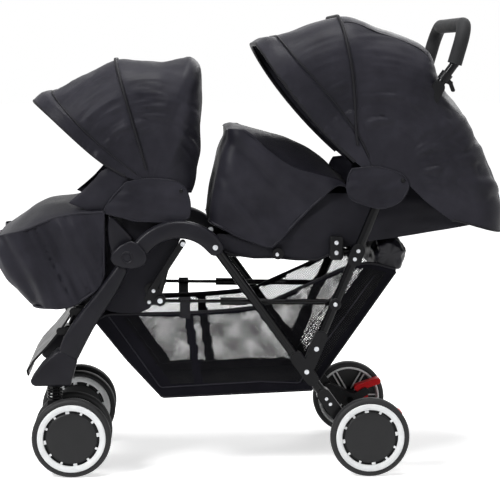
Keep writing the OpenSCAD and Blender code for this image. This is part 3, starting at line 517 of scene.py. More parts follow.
def net_finish():
    """Material of the basket's windows, open between the threads."""
    material, tree, shader = new_material("basket net")
    set_inputs(shader, {"Roughness": 0.6, "Specular IOR Level": 0.04})
    where = tree.nodes.new("ShaderNodeTexCoord")
    net = placed_group(tree, NET, where.outputs["UV"], Pitch=230.0, Thread=0.21)
    tree.links.new(net.outputs["Cover"], shader.inputs["Alpha"])
    tone = placed_group(tree, TONE, where.outputs["Object"], Dark=(0.003, 0.003, 0.004, 1),
                        Light=(0.007, 0.007, 0.008, 1), Scale=60.0)
    tree.links.new(tone.outputs["Color"], shader.inputs["Base Color"])
    return material


NET_CLOTH = net_finish()


# Hoods, with pivots and reaches in millimetres, and angles in degrees back from upright

FRONT_PIVOT = (-235, 664)
REAR_PIVOT = (270, 677)
FRONT_HALF, REAR_HALF = 203, 233
BOW_CORNER = 108
HOOD_FOOT = 26
HOOD_WALL = 1.8
FRONT_RIM, FRONT_BOW, FRONT_MID, FRONT_FIXED, FRONT_END = -55.2, -50, -16, 18, 105
REAR_RIM, REAR_BOW, REAR_MID, REAR_FIXED = -41, -36, -12, 18
FRONT_REACH = [(-56, 325), (-51, 320), (-48, 305), (-36, 291), (-26, 286), (-16, 289), (-6, 278), (4, 274),
               (15, 292), (18, 300), (22, 294), (30, 238), (43, 168), (57, 138), (75, 110), (105, 98)]
REAR_REACH = [(-41, 401), (-38, 398), (-35, 387), (-24, 371), (-12, 371), (3, 338), (16, 325), (20, 322.5),
              (24, 318), (31, 296), (37, 279), (45, 266), (65, 266), (82, 283), (98, 316), (103, 327),
              (114, 348), (119, 340)]
ROOF_SEAM, ROOF_SEAM_BEND = (-11, 26), 60
CURTAIN_END, CURTAIN_DROP = 112.5, 6.5
CURTAIN_FOOT = [(60, 26), (95, 60), (104, 84), (112, 112), (116, 140), (119, 200)]
HOODS = {"front": (FRONT_PIVOT, FRONT_REACH, FRONT_HALF), "rear": (REAR_PIVOT, REAR_REACH, REAR_HALF)}


def u_section(s, reach, half, corner, foot, crown):
    """Distance from the middle and reach of a hood's section, s from one side's foot to the other's."""
    corner = min(corner, 0.8 * (reach - foot), half)
    side = reach - corner - foot
    bend = corner * math.pi / 2
    top = 2 * (half - corner)
    run = s * (2 * side + 2 * bend + top)
    flip = 1
    if run > side + bend + top / 2:
        run = 2 * side + 2 * bend + top - run
        flip = -1
    if run < side:
        y, r = half, foot + run
    elif run < side + bend:
        a = (run - side) / corner
        y, r = half - corner + corner * math.cos(a), reach - corner + corner * math.sin(a)
    else:
        y, r = half - corner - (run - side - bend), reach
    return -flip * y, foot + (r - foot) * (1 - crown / (reach - foot) * (y / half) ** 2)


def hood_place(hood, angle, s, corner=BOW_CORNER, foot=HOOD_FOOT, lean=(0, 1), crown=0, grow=0, narrow=0):
    """Point of a hood's section at an angle, lifted by grow and drawn in at the sides by narrow.

    The sides lean forward towards the pivot, by lean's degrees and power.
    """
    pivot, reaches, half = HOODS[hood]
    reach = table_value(reaches, angle) + grow
    y, r = u_section(s, reach, half + grow - narrow, corner, foot, crown)
    low = 1 - clamp((r - HOOD_FOOT) / (reach - HOOD_FOOT))
    a = math.radians(angle - lean[0] * low ** lean[1])
    return pivot[0] + r * math.sin(a), y, pivot[1] + r * math.cos(a)


def polar_of(pivot, point):
    """Angle and reach of a point, seen from the side."""
    x, z = point[0] - pivot[0], point[2] - pivot[1]
    return math.degrees(math.atan2(x, z)), math.hypot(x, z)


def hood_panel(name, hood, columns, rows, place, size, depth):
    """Hood's cloth, facing away from its pivot and creased by depth."""
    pivot = HOODS[hood][0]
    piece = sheet(name, columns, rows, place, size)
    face_along(piece, lambda centre: centre - Vector((pivot[0], 0.6 * centre.y, pivot[1])))
    crease(piece, depth)
    thicken(piece, HOOD_WALL)
    return piece


def hood_trims(hood, trims):
    """Piping, seams and hems, each with its angle, radius, bow, lift, lean and foot."""
    for name, angle, radius, bow, grow, lean, foot in trims:
        line = [hood_place(hood, angle, s, foot=foot, lean=lean, grow=grow) for s in even_steps(110)]
        fit(tube(f"{hood}_hood_{name}", line, radius), f"{hood}_hood_{bow}", BINDING, "cloth")


def front_lean(angle):
    """Degrees and power of the front hood's lean, which grows from its middle bow to its rim."""
    return 22 * clamp((FRONT_MID - angle) / 40), 2


def front_creases(p):
    """Raised visor band, folds that stand out at the sides and a roof that sinks between the bows."""
    angle, r = polar_of(FRONT_PIVOT, p)
    seam = -48 - 8 * (1 - min(r, 300) / 300)
    band = 2.4 * ease((seam - angle) / 1.2)
    hold = min(abs(angle - bow) for bow in (-54, seam, FRONT_MID, 20)) / 8
    side = ease((abs(p.y) - 120) / 60)
    low = 0.4 + 0.6 * ease((250 - r) / 120)
    fold = wrinkle(angle * 0.022, r * 0.042, 3.1) * 11 + wrinkle(angle * 0.03, r * 0.10, 7.7) * 5
    roof = wrinkle(p.x * 0.016, p.y * 0.02, 1.4) * 4 + wrinkle(p.x * 0.05, p.y * 0.03, 2.9) * 1.8
    puff = abs(fold) * low * ease((r - 95) / 40) - 0.6
    return band + mix(-abs(roof), puff, side) * min(1, hold)


def front_hood():
    def panel(name, first, last, rows):
        def place(u, v):
            angle = mix(first, last, v)
            return hood_place("front", angle, u, foot=6, lean=front_lean(angle))
        return hood_panel(name, "front", 230, rows, place, (1.1, 0.4), front_creases)

    rim = panel("front_hood_rim_panel", FRONT_RIM, FRONT_MID, 70)
    fit(rim, None, HOOD_CLOTH, "cloth")
    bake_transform(rim)
    back = panel("front_hood_back_panel", FRONT_MID, FRONT_END, 96)
    fit(back, None, HOOD_CLOTH, "cloth", "front_canopy")
    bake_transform(back)
    hood_trims("front", [("mid_piping", FRONT_MID, 3.2, "mid", 2.2, (0, 1), 34),
                         ("visor_seam", -47.6, 1.8, "front", 1.4, (8, 1), 40),
                         ("rim_hem", FRONT_RIM, 3.8, "front", -0.5, front_lean(FRONT_RIM), 60)])


def rear_lean(angle):
    """Degrees and power of the rear hood's lean, which grows from its middle bow to its rim."""
    return 10 * clamp((REAR_MID - angle) / 29), 1


def rear_corner(angle):
    """Corner radius of the rear hood's section, which tightens behind its fixed bow."""
    return mix(BOW_CORNER, 50, ease((angle - REAR_FIXED) / 16))


def rear_crown(angle):
    """Fall of the rear hood's section from its middle to its sides, behind the fixed bow."""
    return 36 * ease((angle - REAR_FIXED) / 16) + 10 * ease((angle - 70) / 30)


def curtain_end(u):
    """Angle of the curtain's lower edge, which drops towards the sides."""
    return CURTAIN_END + CURTAIN_DROP * max(0, 1.6 * abs(2 * u - 1) - 0.6)


def rear_creases(p):
    """Creases like the front hood's, with a curtain that hangs in folds and calms towards its hem."""
    angle, r = polar_of(REAR_PIVOT, p)
    seam = -34.5 + 20 * (1 - min(r, 380) / 380) ** 2
    band = 2.6 * ease((seam - angle) / 1.2)
    hold = min(abs(angle - bow) for bow in (-39, seam, REAR_MID, 20)) / 8
    side = ease((abs(p.y) - 110) / 60)
    low = 0.35 + 0.65 * ease((300 - r) / 150)
    fold = (wrinkle(angle * 0.022, r * 0.036, 5.1) * 12 + wrinkle(angle * 0.035, r * 0.09, 9.7) * 5) * low
    curtain = (wrinkle(angle * 0.09, r * 0.010, 2.2) * 12 + wrinkle(angle * 0.06, r * 0.03, 6.6) * 9
               + wrinkle(angle * 0.2, r * 0.02, 4.1) * 4)
    fold = mix(fold, curtain, ease((angle - 40) / 20))
    roof = wrinkle(p.x * 0.016, p.y * 0.02, 4.4) * 3.4 + wrinkle(p.x * 0.05, p.y * 0.03, 5.9) * 1.3
    hang = wrinkle(p.y * 0.03, angle * 0.02, 8.3) * 9 * ease((angle - 40) / 40)
    puff = abs(fold) * ease((r - 95) / 40) - 0.6
    calm = 0.1 + 0.9 * ease((111 - angle) / 14)
    return band + mix(-abs(roof + hang), puff, side) * min(1, hold) * calm


def roof_seam_point(angle, sign):
    """Point of the rear roof's lengthwise seam, where its section turns down to the side."""
    corner = rear_corner(angle)
    bend = math.radians(ROOF_SEAM_BEND)
    r = table_value(REAR_REACH, angle) - corner + corner * math.sin(bend) + 0.4
    y = REAR_HALF - corner + corner * math.cos(bend)
    r -= rear_crown(angle) * (y / REAR_HALF) ** 2
    turn = math.radians(angle)
    return REAR_PIVOT[0] + r * math.sin(turn), sign * y, REAR_PIVOT[1] + r * math.cos(turn)


def rear_hood():
    def panel(name, first, last, rows):
        def place(u, v):
            angle = mix(first, last(u), v)
            return hood_place("rear", angle, u, rear_corner(angle), table_value(CURTAIN_FOOT, angle),
                              rear_lean(angle), rear_crown(angle))
        return hood_panel(name, "rear", 240, rows, place, (1.3, 0.5), rear_creases)

    def blend_back(piece):
        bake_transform(piece)

    rim = panel("rear_hood_rim_panel", REAR_RIM, lambda u: REAR_MID, 56)
    fit(rim, None, HOOD_CLOTH, "cloth")
    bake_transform(rim)
    back = panel("rear_hood_back_panel", REAR_MID, curtain_end, 120)
    blend_back(fit(back, None, HOOD_CLOTH, "cloth", "rear_canopy", "rear_curtain"))
    hood_trims("rear", [("mid_piping", REAR_MID, 3.4, "mid", 2.4, (34, 4), 84),
                        ("visor_seam", -34.2, 1.8, "front", 1.4, (-20, 2), 50),
                        ("rim_hem", REAR_RIM, 4.6, "front", -1.5, rear_lean(REAR_RIM), 60)])
    hem = []
    for s in even_steps(140):
        angle = curtain_end(s)
        hem.append(hood_place("rear", angle, s, rear_corner(angle), table_value(CURTAIN_FOOT, angle),
                              crown=rear_crown(angle), narrow=0.5))
    fit(tube("rear_curtain_hem", hem, 2.4), "rear_frame", BINDING, "cloth")
    for side, sign in SIDES.items():
        seam = [roof_seam_point(mix(*ROOF_SEAM, q), sign) for q in even_steps(40)]
        blend_back(fit(tube(f"rear_hood_roof_seam_{side}", seam, 1.9), None, BINDING, "cloth"))


# Flaps and aprons

FRONT_FLAP = [(-290, 668), (-237, 676), (-187, 672), (-157, 654), (-146, 614), (-149, 588), (-198, 578),
              (-260, 580), (-303, 590), (-340, 603), (-326, 628)]
REAR_FLAP = [(218, 699), (270, 703), (315, 692), (337, 680), (345, 660), (336, 637), (315, 619), (283, 610),
             (247, 618), (214, 633), (206, 657), (209, 682)]
FLAP_BULGE = 3.5
FLAPS = {"front": (FRONT_FLAP, 205.5, (-167, 648)), "rear": (REAR_FLAP, 235.5, (332, 672))}


def oval_panel(name, outline, y, bulge, around=96):
    """Soft panel inside a closed side-view outline, standing out by bulge in its middle, and its edge."""
    loop = line_points(at_y(outline + outline[:1]), around + 1)
    middle = (sum(p[0] for p in outline) / len(outline), sum(p[1] for p in outline) / len(outline))

    def place(u, v):
        x, _, z = loop[round(u * around)]
        return mix(middle[0], x, v), y + math.copysign(bulge * (1 - v ** 3), y), mix(middle[1], z, v)
    piece = sheet(name, around, 14, place, (0.3, 0.15))
    edit(piece, bpy.ops.mesh.remove_doubles, threshold=1e-5)
    return piece, loop[:-1]


def hood_flaps():
    """Side flaps over the hoods' pivots, each with its piped edge and snap button."""
    snap_profile = [(0.01, 0), (4.5, 0), (5.0, 0.8), (3.6, 2.4), (0.01, 2.8)]
    for side, sign in SIDES.items():
        for hood, (outline, y, (x, z)) in FLAPS.items():
            body = f"{hood}_frame"
            flap, loop = oval_panel(f"{hood}_hood_flap_{side}", outline, sign * y, FLAP_BULGE)
            crease(flap, lambda p: wrinkle(p.x * 0.02, p.z * 0.05, 11.0) * 4)
            face_side(flap, sign)
            thicken(flap, HOOD_WALL, 0)
            fit(flap, body, HOOD_CLOTH, "cloth")
            edge = [(p[0], sign * y, p[2]) for p in loop]
            fit(tube(f"{hood}_hood_flap_edge_{side}", edge, 2.0, True), body, PIPING, "cloth")
            snap = turned_at((x, sign * (y + 2.2), z), f"{hood}_hood_snap_{side}", snap_profile, 24)
            fit(snap, body, DARK_PLASTIC, "plastic")


APRON_WALL = 2.0
APRON = {
    "front": {"half": 208, "corner": 55, "rear": -341, "rear_cut": 66, "front": -580, "middle": 560,
              "low": [(-520, 385), (-500, 384), (-460, 387), (-430, 393), (-400, 405), (-370, 420),
                      (-356, 430), (-346, 446), (-341, 462)],
              "seam": [(-586, 540), (-570, 546), (-520, 560), (-452, 587), (-396, 598), (-341, 601)],
              "ridge": [(-586, 541), (-570, 556), (-548, 574), (-501, 607), (-453, 620), (-410, 625),
                        (-341, 628)],
              "profile": [(382, -500), (396, -517), (430, -543), (460, -566), (502, -586), (525, -588),
                          (545, -583)]},
    "rear": {"half": 185, "corner": 34, "rear": 218, "rear_cut": 10, "front": -98, "middle": 700,
             "low": [(-98, 576), (-70, 562), (-32, 542), (0, 530), (30, 520), (42, 519), (54, 529), (95, 573),
                     (150, 628), (194, 660), (206, 658), (218, 646)],
             "seam": [(-62, 784), (-40, 773), (13, 738), (84, 698), (120, 688), (150, 681), (196, 667),
                      (218, 649)],
             "ridge": [(-62, 786), (-48, 793), (24, 775), (95, 755), (155, 722), (190, 691), (218, 660)],
             "profile": [(574, -101), (596, -100), (656, -90), (739, -69), (772, -58), (787, -54)]}}


def plan_point(shape, s):
    """Point of an apron seen from above, s from one side's rear end round the front to the other's."""
    half, corner = shape["half"], shape["corner"]
    side = shape["rear"] - shape["front"] - corner
    bend = corner * math.pi / 2
    whole = 2 * (side + bend + half - corner)
    run = s * whole
    flip = -1
    if run > whole / 2:
        run = whole - run
        flip = 1
    if run < side:
        return shape["rear"] - run, flip * half
    if run < side + bend:
        a = (run - side) / corner
        return shape["front"] + corner - corner * math.sin(a), flip * (half - corner + corner * math.cos(a))
    return shape["front"], flip * (half - corner - (run - side - bend))


def skirt_place(shape, s, v, grow=0.0):
    """Point of an apron's hanging cloth, v from its lower edge up to its seam."""
    x, y = plan_point(shape, s)
    z = mix(table_value(shape["low"], x), table_value(shape["seam"], x), v)
    front = table_value(shape["profile"], z)
    x = shape["rear"] + (x - shape["rear"]) * (front - shape["rear"]) / (shape["front"] - shape["rear"])
    return x - grow * 0.5, y + math.copysign(grow, y), z


def lid_place(shape, t, v):
    """Point of an apron's top panel, v from its front edge to the rear one."""
    first = shape["seam"][0][0]
    x = mix(first, mix(shape["rear"] - shape["rear_cut"], shape["rear"], abs(t) ** 1.5), v)
    d = min(max(x - first, 0), shape["corner"])
    half = shape["half"] - shape["corner"] + math.sqrt(shape["corner"] ** 2 - (shape["corner"] - d) ** 2)
    edge, ridge = table_value(shape["seam"], x), table_value(shape["ridge"], x)
    return x, t * half, edge + (ridge - edge) * (1 - abs(t) ** 2.6)


def apron(end, folds):
    """Leg apron of one seat: hanging skirt, top panel, and the piping along their edges."""
    shape = APRON[end]
    body = f"{end}_frame"
    middle = Vector((mix(shape["front"], shape["rear"], 0.5), 0, shape["middle"]))

    def lid_depth(p):
        return wrinkle(p.x * 0.022, p.y * 0.011, 8.0) * 3.5 * ease((shape["half"] - abs(p.y)) / 40)

    def trim(name, points, radius, finish):
        fit(tube(f"{end}_apron_{name}", points, radius), body, finish, "cloth")

    skirt = sheet(f"{end}_apron_skirt", 150, 50, lambda u, v: skirt_place(shape, u, v), (0.9, 0.25))
    crease(skirt, folds)
    face_along(skirt, lambda centre: centre - middle)
    thicken(skirt, APRON_WALL)
    fit(skirt, body, HOOD_CLOTH, "cloth", f"{end}_apron")
    lid = sheet(f"{end}_apron_lid", 90, 60, lambda u, v: lid_place(shape, 2 * u - 1, v), (0.42, 0.26))
    crease(lid, lid_depth)
    face_along(lid, lambda centre: Vector((0, 0, 1)))
    thicken(lid, APRON_WALL)
    fit(lid, body, HOOD_CLOTH, "cloth")
    trim("seam", [skirt_place(shape, s, 1, 0.4) for s in even_steps(160)], 3.0, PIPING)
    trim("low_hem", [skirt_place(shape, s, 0, 0.2) for s in even_steps(160)], 3.4, PIPING)
    trim("rear_hem", [lid_place(shape, mix(-1, 1, q), 1) for q in even_steps(60)], 2.4, BINDING)
    for side, sign in SIDES.items():
        edge = [skirt_place(shape, 0 if sign < 0 else 1, v, 0.2) for v in even_steps(20)]
        trim(f"edge_{side}", edge, 3.0, PIPING)


def front_folds(p):
    """Slanting folds at the sides and upright ones at the front, deeper below the seam."""
    drop = ease((606 - p.z) / 50)
    side = ease((abs(p.y) - 120) / 60)
    long = wrinkle((p.x + 0.42 * p.z) * 0.021, p.z * 0.004, 2.0) * 19
    sharp = abs(wrinkle((p.x + 0.5 * p.z) * 0.04, 1.5, 4.0)) * 13
    fine = wrinkle((p.x + 0.3 * p.z) * 0.07, p.z * 0.010, 5.0) * 3.5
    front = wrinkle(p.y * 0.022, p.z * 0.006, 9.0) * 11
    return (mix(front, long - sharp, side) + fine) * drop - 1.0


def rear_folds(p):
    """Broad slanting folds at the sides, and shallow ones across the front."""
    side = ease((abs(p.y) - 110) / 50)
    inner = ease((p.x + 90) / 50)
    long = wrinkle((p.x + 1.2 * p.z) * 0.012, (p.x - p.z) * 0.004, 12.0) * 17
    sharp = 11 * abs(wrinkle((p.x + 0.9 * p.z) * 0.018, (p.x - p.z) * 0.003, 5.5))
    fine = wrinkle((p.x * 0.5 + p.z) * 0.034, p.x * 0.012, 3.0) * 5
    front = wrinkle(p.y * 0.016, p.z * 0.010, 6.0) * 7
    return mix(front, (long - sharp + fine) * inner, side) - 1.0


def panel_between(name, lower, upper, y, bulge, grid, depth, wall):
    """Soft side panel between two side-view lines, standing out by bulge in its middle."""
    across, along = grid
    low = line_points(at_y(lower), across + 1)
    high = line_points(at_y(upper), across + 1)

    def place(u, v):
        i = min(across, round(u * across))
        a, b = low[i], high[i]
        out = bulge * (1 - abs(2 * u - 1) ** 4) * (1 - abs(2 * v - 1) ** 2.0)
        return mix(a[0], b[0], v), y + math.copysign(out, y), mix(a[2], b[2], v)
    piece = sheet(name, across, along, place, (0.3, 0.15))
    crease(piece, depth)
    face_side(piece, y)
    thicken(piece, *wall)
    return piece


COLLAR_HALF = 196
COLLAR_LOW = [(-420, 622), (-396, 612), (-370, 604), (-345, 600), (-320, 602), (-286, 612)]
COLLAR_HIGH = [(-412, 628), (-386, 650), (-362, 674), (-343, 694), (-312, 704), (-280, 704)]


def apron_collars():
    """Cloth between the front apron's rear corners and the hood's pivots."""
    for side, sign in SIDES.items():
        collar = panel_between(f"front_apron_collar_{side}", COLLAR_LOW, COLLAR_HIGH, sign * COLLAR_HALF, 6,
                               (30, 14), lambda p: wrinkle(p.x * 0.03, p.z * 0.03, 4.0) * 4, (HOOD_WALL, 0))
        fit(collar, "front_frame", HOOD_CLOTH, "cloth")


# Sleeves, latches and screws

SLEEVE = [(-331, 595), (-318, 588), (-274, 540), (-284, 516), (-300, 500), (-322, 498), (-332, 530),
          (-335, 565)]
SLEEVE_SPAN = (184, 204)
LATCH = [(172, 541), (172, 492), (178, 488), (198, 488), (203, 493), (203, 538), (198, 543), (177, 544)]
LATCH_SPAN = (182, 196)
PIVOT_CAP = [(0.01, 0), (13.4, 0), (13.4, 2.6), (11.6, 4.2), (8, 4.4), (7.2, 3.8), (0.01, 3.8)]
LEG_PIVOT, PIVOT_CAP_HALF = (182.1, 390.3), 222.6
SCREWS = [("seat_latch_screw_0", (187, 196, 528), 5.2, "rear_frame"),
          ("seat_latch_screw_1", (187, 196, 505), 5.2, "rear_frame"),
          ("knob_screw", (52, 190.4, 501), 4.6, "rear_frame"),
          ("leg_pivot_screw", (LEG_PIVOT[0], 227.2, LEG_PIVOT[1]), 4.8, "rear_frame"),
          ("bracket_screw_0", (-230, 196.2, 420), 4.6, "front_frame"),
          ("bracket_screw_1", (-240, 178.5, 392), 4.6, "front_frame")]


def bumper_sleeves():
    """Smooth covers on the bumper bar's arms."""
    for side, sign in SIDES.items():
        sleeve = slab(f"bumper_sleeve_{side}", SLEEVE, SLEEVE_SPAN, sign, 7, 4)
        fit(sleeve, "front_frame", LEG_PLASTIC, "plastic")


def screw(name, place, radius, body):
    """Domed screw head with a dimple, facing out from the side it lies on."""
    profile = [(0.01, -1), (radius, -1), (radius, 0.6), (radius * 0.8, 1.7), (radius * 0.35, 2.0),
               (radius * 0.3, 1.2), (0.01, 1.1)]
    fit(turned_at(place, name, profile, 28), body, ZINC, "zinc")


def small_hardware():
    """Latch plates of the rear seat, caps of the rear legs' pivots, and the screws of both frames."""
    for side, sign in SIDES.items():
        plate = slab(f"seat_latch_{side}", LATCH, LATCH_SPAN, sign, 2.5)
        fit(plate, "rear_frame", DARK_PLASTIC, "plastic")
        place = (LEG_PIVOT[0], sign * PIVOT_CAP_HALF, LEG_PIVOT[1])
        cap = turned_at(place, f"leg_pivot_cap_{side}", PIVOT_CAP, 48)
        fit(cap, "rear_frame", DARK_PLASTIC, "plastic")
        for name, (x, y, z), radius, body in SCREWS:
            screw(f"{name}_{side}", (x, sign * y, z), radius, body)


# Seats

SEAT_WALL = 2.0
REAR_SIDE_HALF, FRONT_SIDE_HALF, SLING_HALF = 174, 174.6, 152
REAR_SIDE_LOW = [(-84, 512), (-40, 499), (0, 493), (50, 493), (95, 488), (145, 487), (168, 497), (190, 508),
                 (230, 522), (330, 538), (430, 554), (520, 570)]
REAR_SIDE_HIGH = [(-84, 548), (-40, 545), (40, 560), (110, 600), (180, 640), (240, 640), (330, 636),
                  (430, 634), (520, 632)]
FRONT_SIDE_LOW = [(-352, 402), (-345, 378), (-300, 367), (-262, 368), (-240, 378), (-228, 402), (-205, 455),
                  (-181, 508), (-163, 548)]
FRONT_SIDE_HIGH = [(-352, 408), (-340, 460), (-328, 520), (-312, 560), (-284, 588), (-252, 594), (-226, 594),
                   (-195, 592), (-163, 590)]
SLING = [(-352, 404), (-356, 392), (-344, 374), (-300, 366), (-262, 367), (-238, 382), (-228, 404)]


def seat_sides():
    """Cloth sides of the seats, under the hoods and aprons."""
    for side, sign in SIDES.items():
        piece = panel_between(f"rear_seat_side_{side}", REAR_SIDE_LOW, REAR_SIDE_HIGH,
                              sign * REAR_SIDE_HALF, 6, (60, 14),
                              lambda p: wrinkle(p.x * 0.02, p.z * 0.04, 21.0) * 4 - 1, (SEAT_WALL,))
        fit(piece, None, SEAT_CLOTH, "cloth")
        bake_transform(piece)
        edge = tube(f"rear_seat_side_edge_{side}", at_y(REAR_SIDE_LOW[:8], sign * (REAR_SIDE_HALF + 1)), 2.5)
        fit(edge, "rear_frame", BINDING, "cloth")
        piece = panel_between(f"front_seat_side_{side}", FRONT_SIDE_LOW, FRONT_SIDE_HIGH,
                              sign * FRONT_SIDE_HALF, 2, (48, 16),
                              lambda p: wrinkle(p.x * 0.03, p.z * 0.02, 23.0) * 2, (SEAT_WALL,))
        fit(piece, "front_frame", SEAT_CLOTH, "cloth")


def seat_sling():
    """Cloth under the front seat, between its sides."""
    rows = 24
    points = line_points(at_y(SLING), rows + 1)

    def place(u, v):
        x, _, z = points[round(v * rows)]
        return x, mix(-SLING_HALF, SLING_HALF, u), z - 3 * (1 - (2 * u - 1) ** 4)
    piece = sheet("front_seat_sling", 30, rows, place, (0.3, 0.2))
    thicken(piece, SEAT_WALL, 0)
    fit(piece, "front_frame", SEAT_CLOTH, "cloth")


front_hood()
rear_hood()
hood_flaps()
apron("front", front_folds)
apron_collars()
apron("rear", rear_folds)
bumper_sleeves()
seat_sides()
seat_sling()
small_hardware()


# Padded pieces: recline pivots in the side view and the backs' turns in degrees

RECLINE = {"front": ((-234, 426), -78), "rear": ((199.5, 530), -9)}
PAD_START, BOARD_START, BOARD_THICK, BOARD_TOP = 24, 22, 8, 8.3
LUG_SPAN = (18, 10)
LUG = [(-9, -6), (-9, 6), (-4, 11), (6, 11), (34, 8), (36, 4), (34, 0), (6, -10), (-4, -11)]


def blow_up(piece, steps=20):
    """Fills a pad by a short run of cloth under pressure."""
    cloth = piece.modifiers.new("cloth", "CLOTH")
    cloth.settings.use_pressure = True
    cloth.settings.uniform_pressure_force = 4
    cloth.settings.effector_weights.gravity = 0
    cloth.point_cache.frame_end = steps
    for step in range(1, steps + 1):
        bpy.context.scene.frame_set(step)
    pick(piece)
    bpy.ops.object.modifier_apply(modifier="cloth")
    bpy.context.scene.frame_set(1)


def padded_block(name, size, place, turn, channels, body, node, swell):
    """Crowned pad, blown up as cloth by swell at most, with sewn channels across it."""
    length, half, thick = size
    core = thick - 12
    piece = plain_box(name, (length - 8, 2 * half - 8, core), (length / 2, 0, thick / 2))
    apply_modifier(piece, "BEVEL", width=min(9, core / 2.4) * MM, segments=3)
    apply_modifier(piece, "REMESH", mode="VOXEL", voxel_size=6 * MM)
    start = [vert.co.copy() for vert in piece.data.vertices]
    blow_up(piece)
    for vert, rest in zip(piece.data.vertices, start):
        move = vert.co - rest
        if move.length > swell * MM:
            move = move.normalized() * swell * MM
        vert.co = rest + move
        vert.co.z = max(vert.co.z, 0.4 * MM)
        vert.co.x = min(max(vert.co.x, 0), length * MM)
        top = ease((vert.co.z / MM - thick * 0.35) / (thick * 0.4))
        dip = max(math.exp(-((vert.co.x / MM - c * length) / 7) ** 2) for c in channels)
        vert.co.z -= 7 * MM * dip * top
    apply_modifier(piece, "SUBSURF", levels=1, render_levels=1)
    smooth(piece, 80)
    fit(moved(piece, place, turn), body, SEAT_CLOTH, "cloth", node)


def back_board(end, length, half):
    """Backrest's stiff board with its cloth cover."""
    (x, z), turn = RECLINE[end]
    centre = (BOARD_START + length / 2, 0, BOARD_THICK / 2)
    board = block(f"{end}_back_board", (length, 2 * half - 4, BOARD_THICK), centre, 3)
    fit(moved(board, (x, 0, z), turn), f"{end}_back", BASKET_CLOTH, "cloth")


def back_lugs(end, half):
    """Backrest's two hinge lugs, set in from its sides."""
    (x, z), turn = RECLINE[end]
    name = f"{end}_back_lugs"
    span = [half - inset for inset in LUG_SPAN]
    pair = [slab(name, LUG, span, sign, 1.5) for sign in SIDES.values()]
    fit(moved(join(name, pair), (x, 0, z), turn), f"{end}_back", DARK_PLASTIC, "plastic")


def back_pad(end, size):
    """Backrest's pad, lying on its board."""
    (x, z), turn = RECLINE[end]
    a = math.radians(turn)
    place = (x + PAD_START * math.cos(a) + BOARD_TOP * math.sin(a), 0,
             z - PAD_START * math.sin(a) + BOARD_TOP * math.cos(a))
    padded_block(f"{end}_back_pad", size, place, turn, (0.32, 0.64), f"{end}_back", f"{end}_backrest", 7)


def seat_pads():
    padded_block("front_seat_pad", (148, 153, 40), (-400, 0, 406.5), 0, (0.35, 0.68), "front_frame",
                 "front_seat_cushion", 8)
    padded_block("rear_seat_pad", (216, 153, 42), (-55, 0, 512.5), 0, (0.33, 0.66), "rear_frame",
                 "rear_seat_cushion", 8)
    back_pad("front", (316, 146, 30))
    back_pad("rear", (336, 161, 34))
    for end, length, half in (("front", 320, 150), ("rear", 340, 165)):
        back_board(end, length, half)
        back_lugs(end, half)


seat_pads()


# Basket

BASKET_HALF, BASKET_WALL, POCKET_HALF, STRAP_LAP = 165, 1.6, 158, 14
BASKET_FRONT, BASKET_REAR = -363, 327
BASKET_PATH = [(BASKET_FRONT, 345), (-293, 257), (-211, 167), (134, 181), (BASKET_REAR, 455)]
RIM_LINE = [(BASKET_FRONT, 349), (-332, 363), (-272, 364), (-157, 366), (-43, 373), (19, 382), (49, 396),
            (130, 432), (218, 470), (262, 478), (BASKET_REAR, 464)]
SEAM_LINE = [(-334, 360), (-215, 192), (15, 204), (106, 200), (149, 271), (278, 449)]
WINDOW = [(-302, 357), (-157, 358), (-43, 365), (19, 374), (49, 388), (130, 424), (218, 461), (262, 468),
          (306, 455), (140, 218), (118, 204), (-189, 199)]
WEBBING = {-1: (-152, -132), 1: (-118, -96)}
WEBBING_SLANT, WEBBING_LEVEL = 0.14, 300
STRAPS = [(-170, -146, 404, 186, "rail_rod_pair"), (70, 94, 398, 189, "rail_sleeve_pair")]
POCKET = [(282, 534), (326, 540), (350, 522), (362, 504), (354, 474), (345, 455), (320, 451), (284, 458),
          (270, 470), (274, 505)]


def inside(x, z, outline):
    """Whether a side-view point lies inside a closed outline."""
    hit = False
    for (x0, z0), (x1, z1) in zip(outline, outline[1:] + outline[:1]):
        if (z0 > z) != (z1 > z) and x < x0 + (z - z0) / (z1 - z0) * (x1 - x0):
            hit = not hit
    return hit


def straight_z(line, x):
    """Height of a side-view line of straight runs at x."""
    for (x0, z0), (x1, z1) in zip(line, line[1:]):
        if x <= x1:
            break
    return mix(z0, z1, (x - x0) / (x1 - x0))


def wall_point(x, v):
    """Point of a basket's side wall, v from its lower edge to its rim."""
    low, high = straight_z(BASKET_PATH, x), table_value(RIM_LINE, x)
    slack = 4 * math.sin(math.pi * v) * ease((x - BASKET_FRONT) / 60) * ease((BASKET_REAR - x) / 60)
    return x, BASKET_HALF - slack, mix(min(low, high), high, v)


def hang_between(piece):
    """Bakes a basket piece's transform into its mesh."""
    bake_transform(piece)


def basket_tray():
    """Floor and ends of the basket in one sagging cloth."""
    rows = 90
    points = straight_points(at_y(BASKET_PATH), rows + 1)

    def place(u, v):
        x, _, z = points[round(v * rows)]
        sag = 5 * (1 - (2 * u - 1) ** 2) * (1 - abs(2 * v - 1) ** 3)
        return x, mix(-BASKET_HALF, BASKET_HALF, u), z + 4 - sag
    tray = sheet("basket_tray", 40, rows, place, (0.33, 0.95))
    crease(tray, lambda p: wrinkle(p.x * 0.02, p.y * 0.015, 14.0) * 3)
    face_along(tray, lambda centre: Vector((0, 0, -1)))
    thicken(tray, BASKET_WALL)
    hang_between(fit(tray, None, BASKET_CLOTH, "cloth", "basket"))


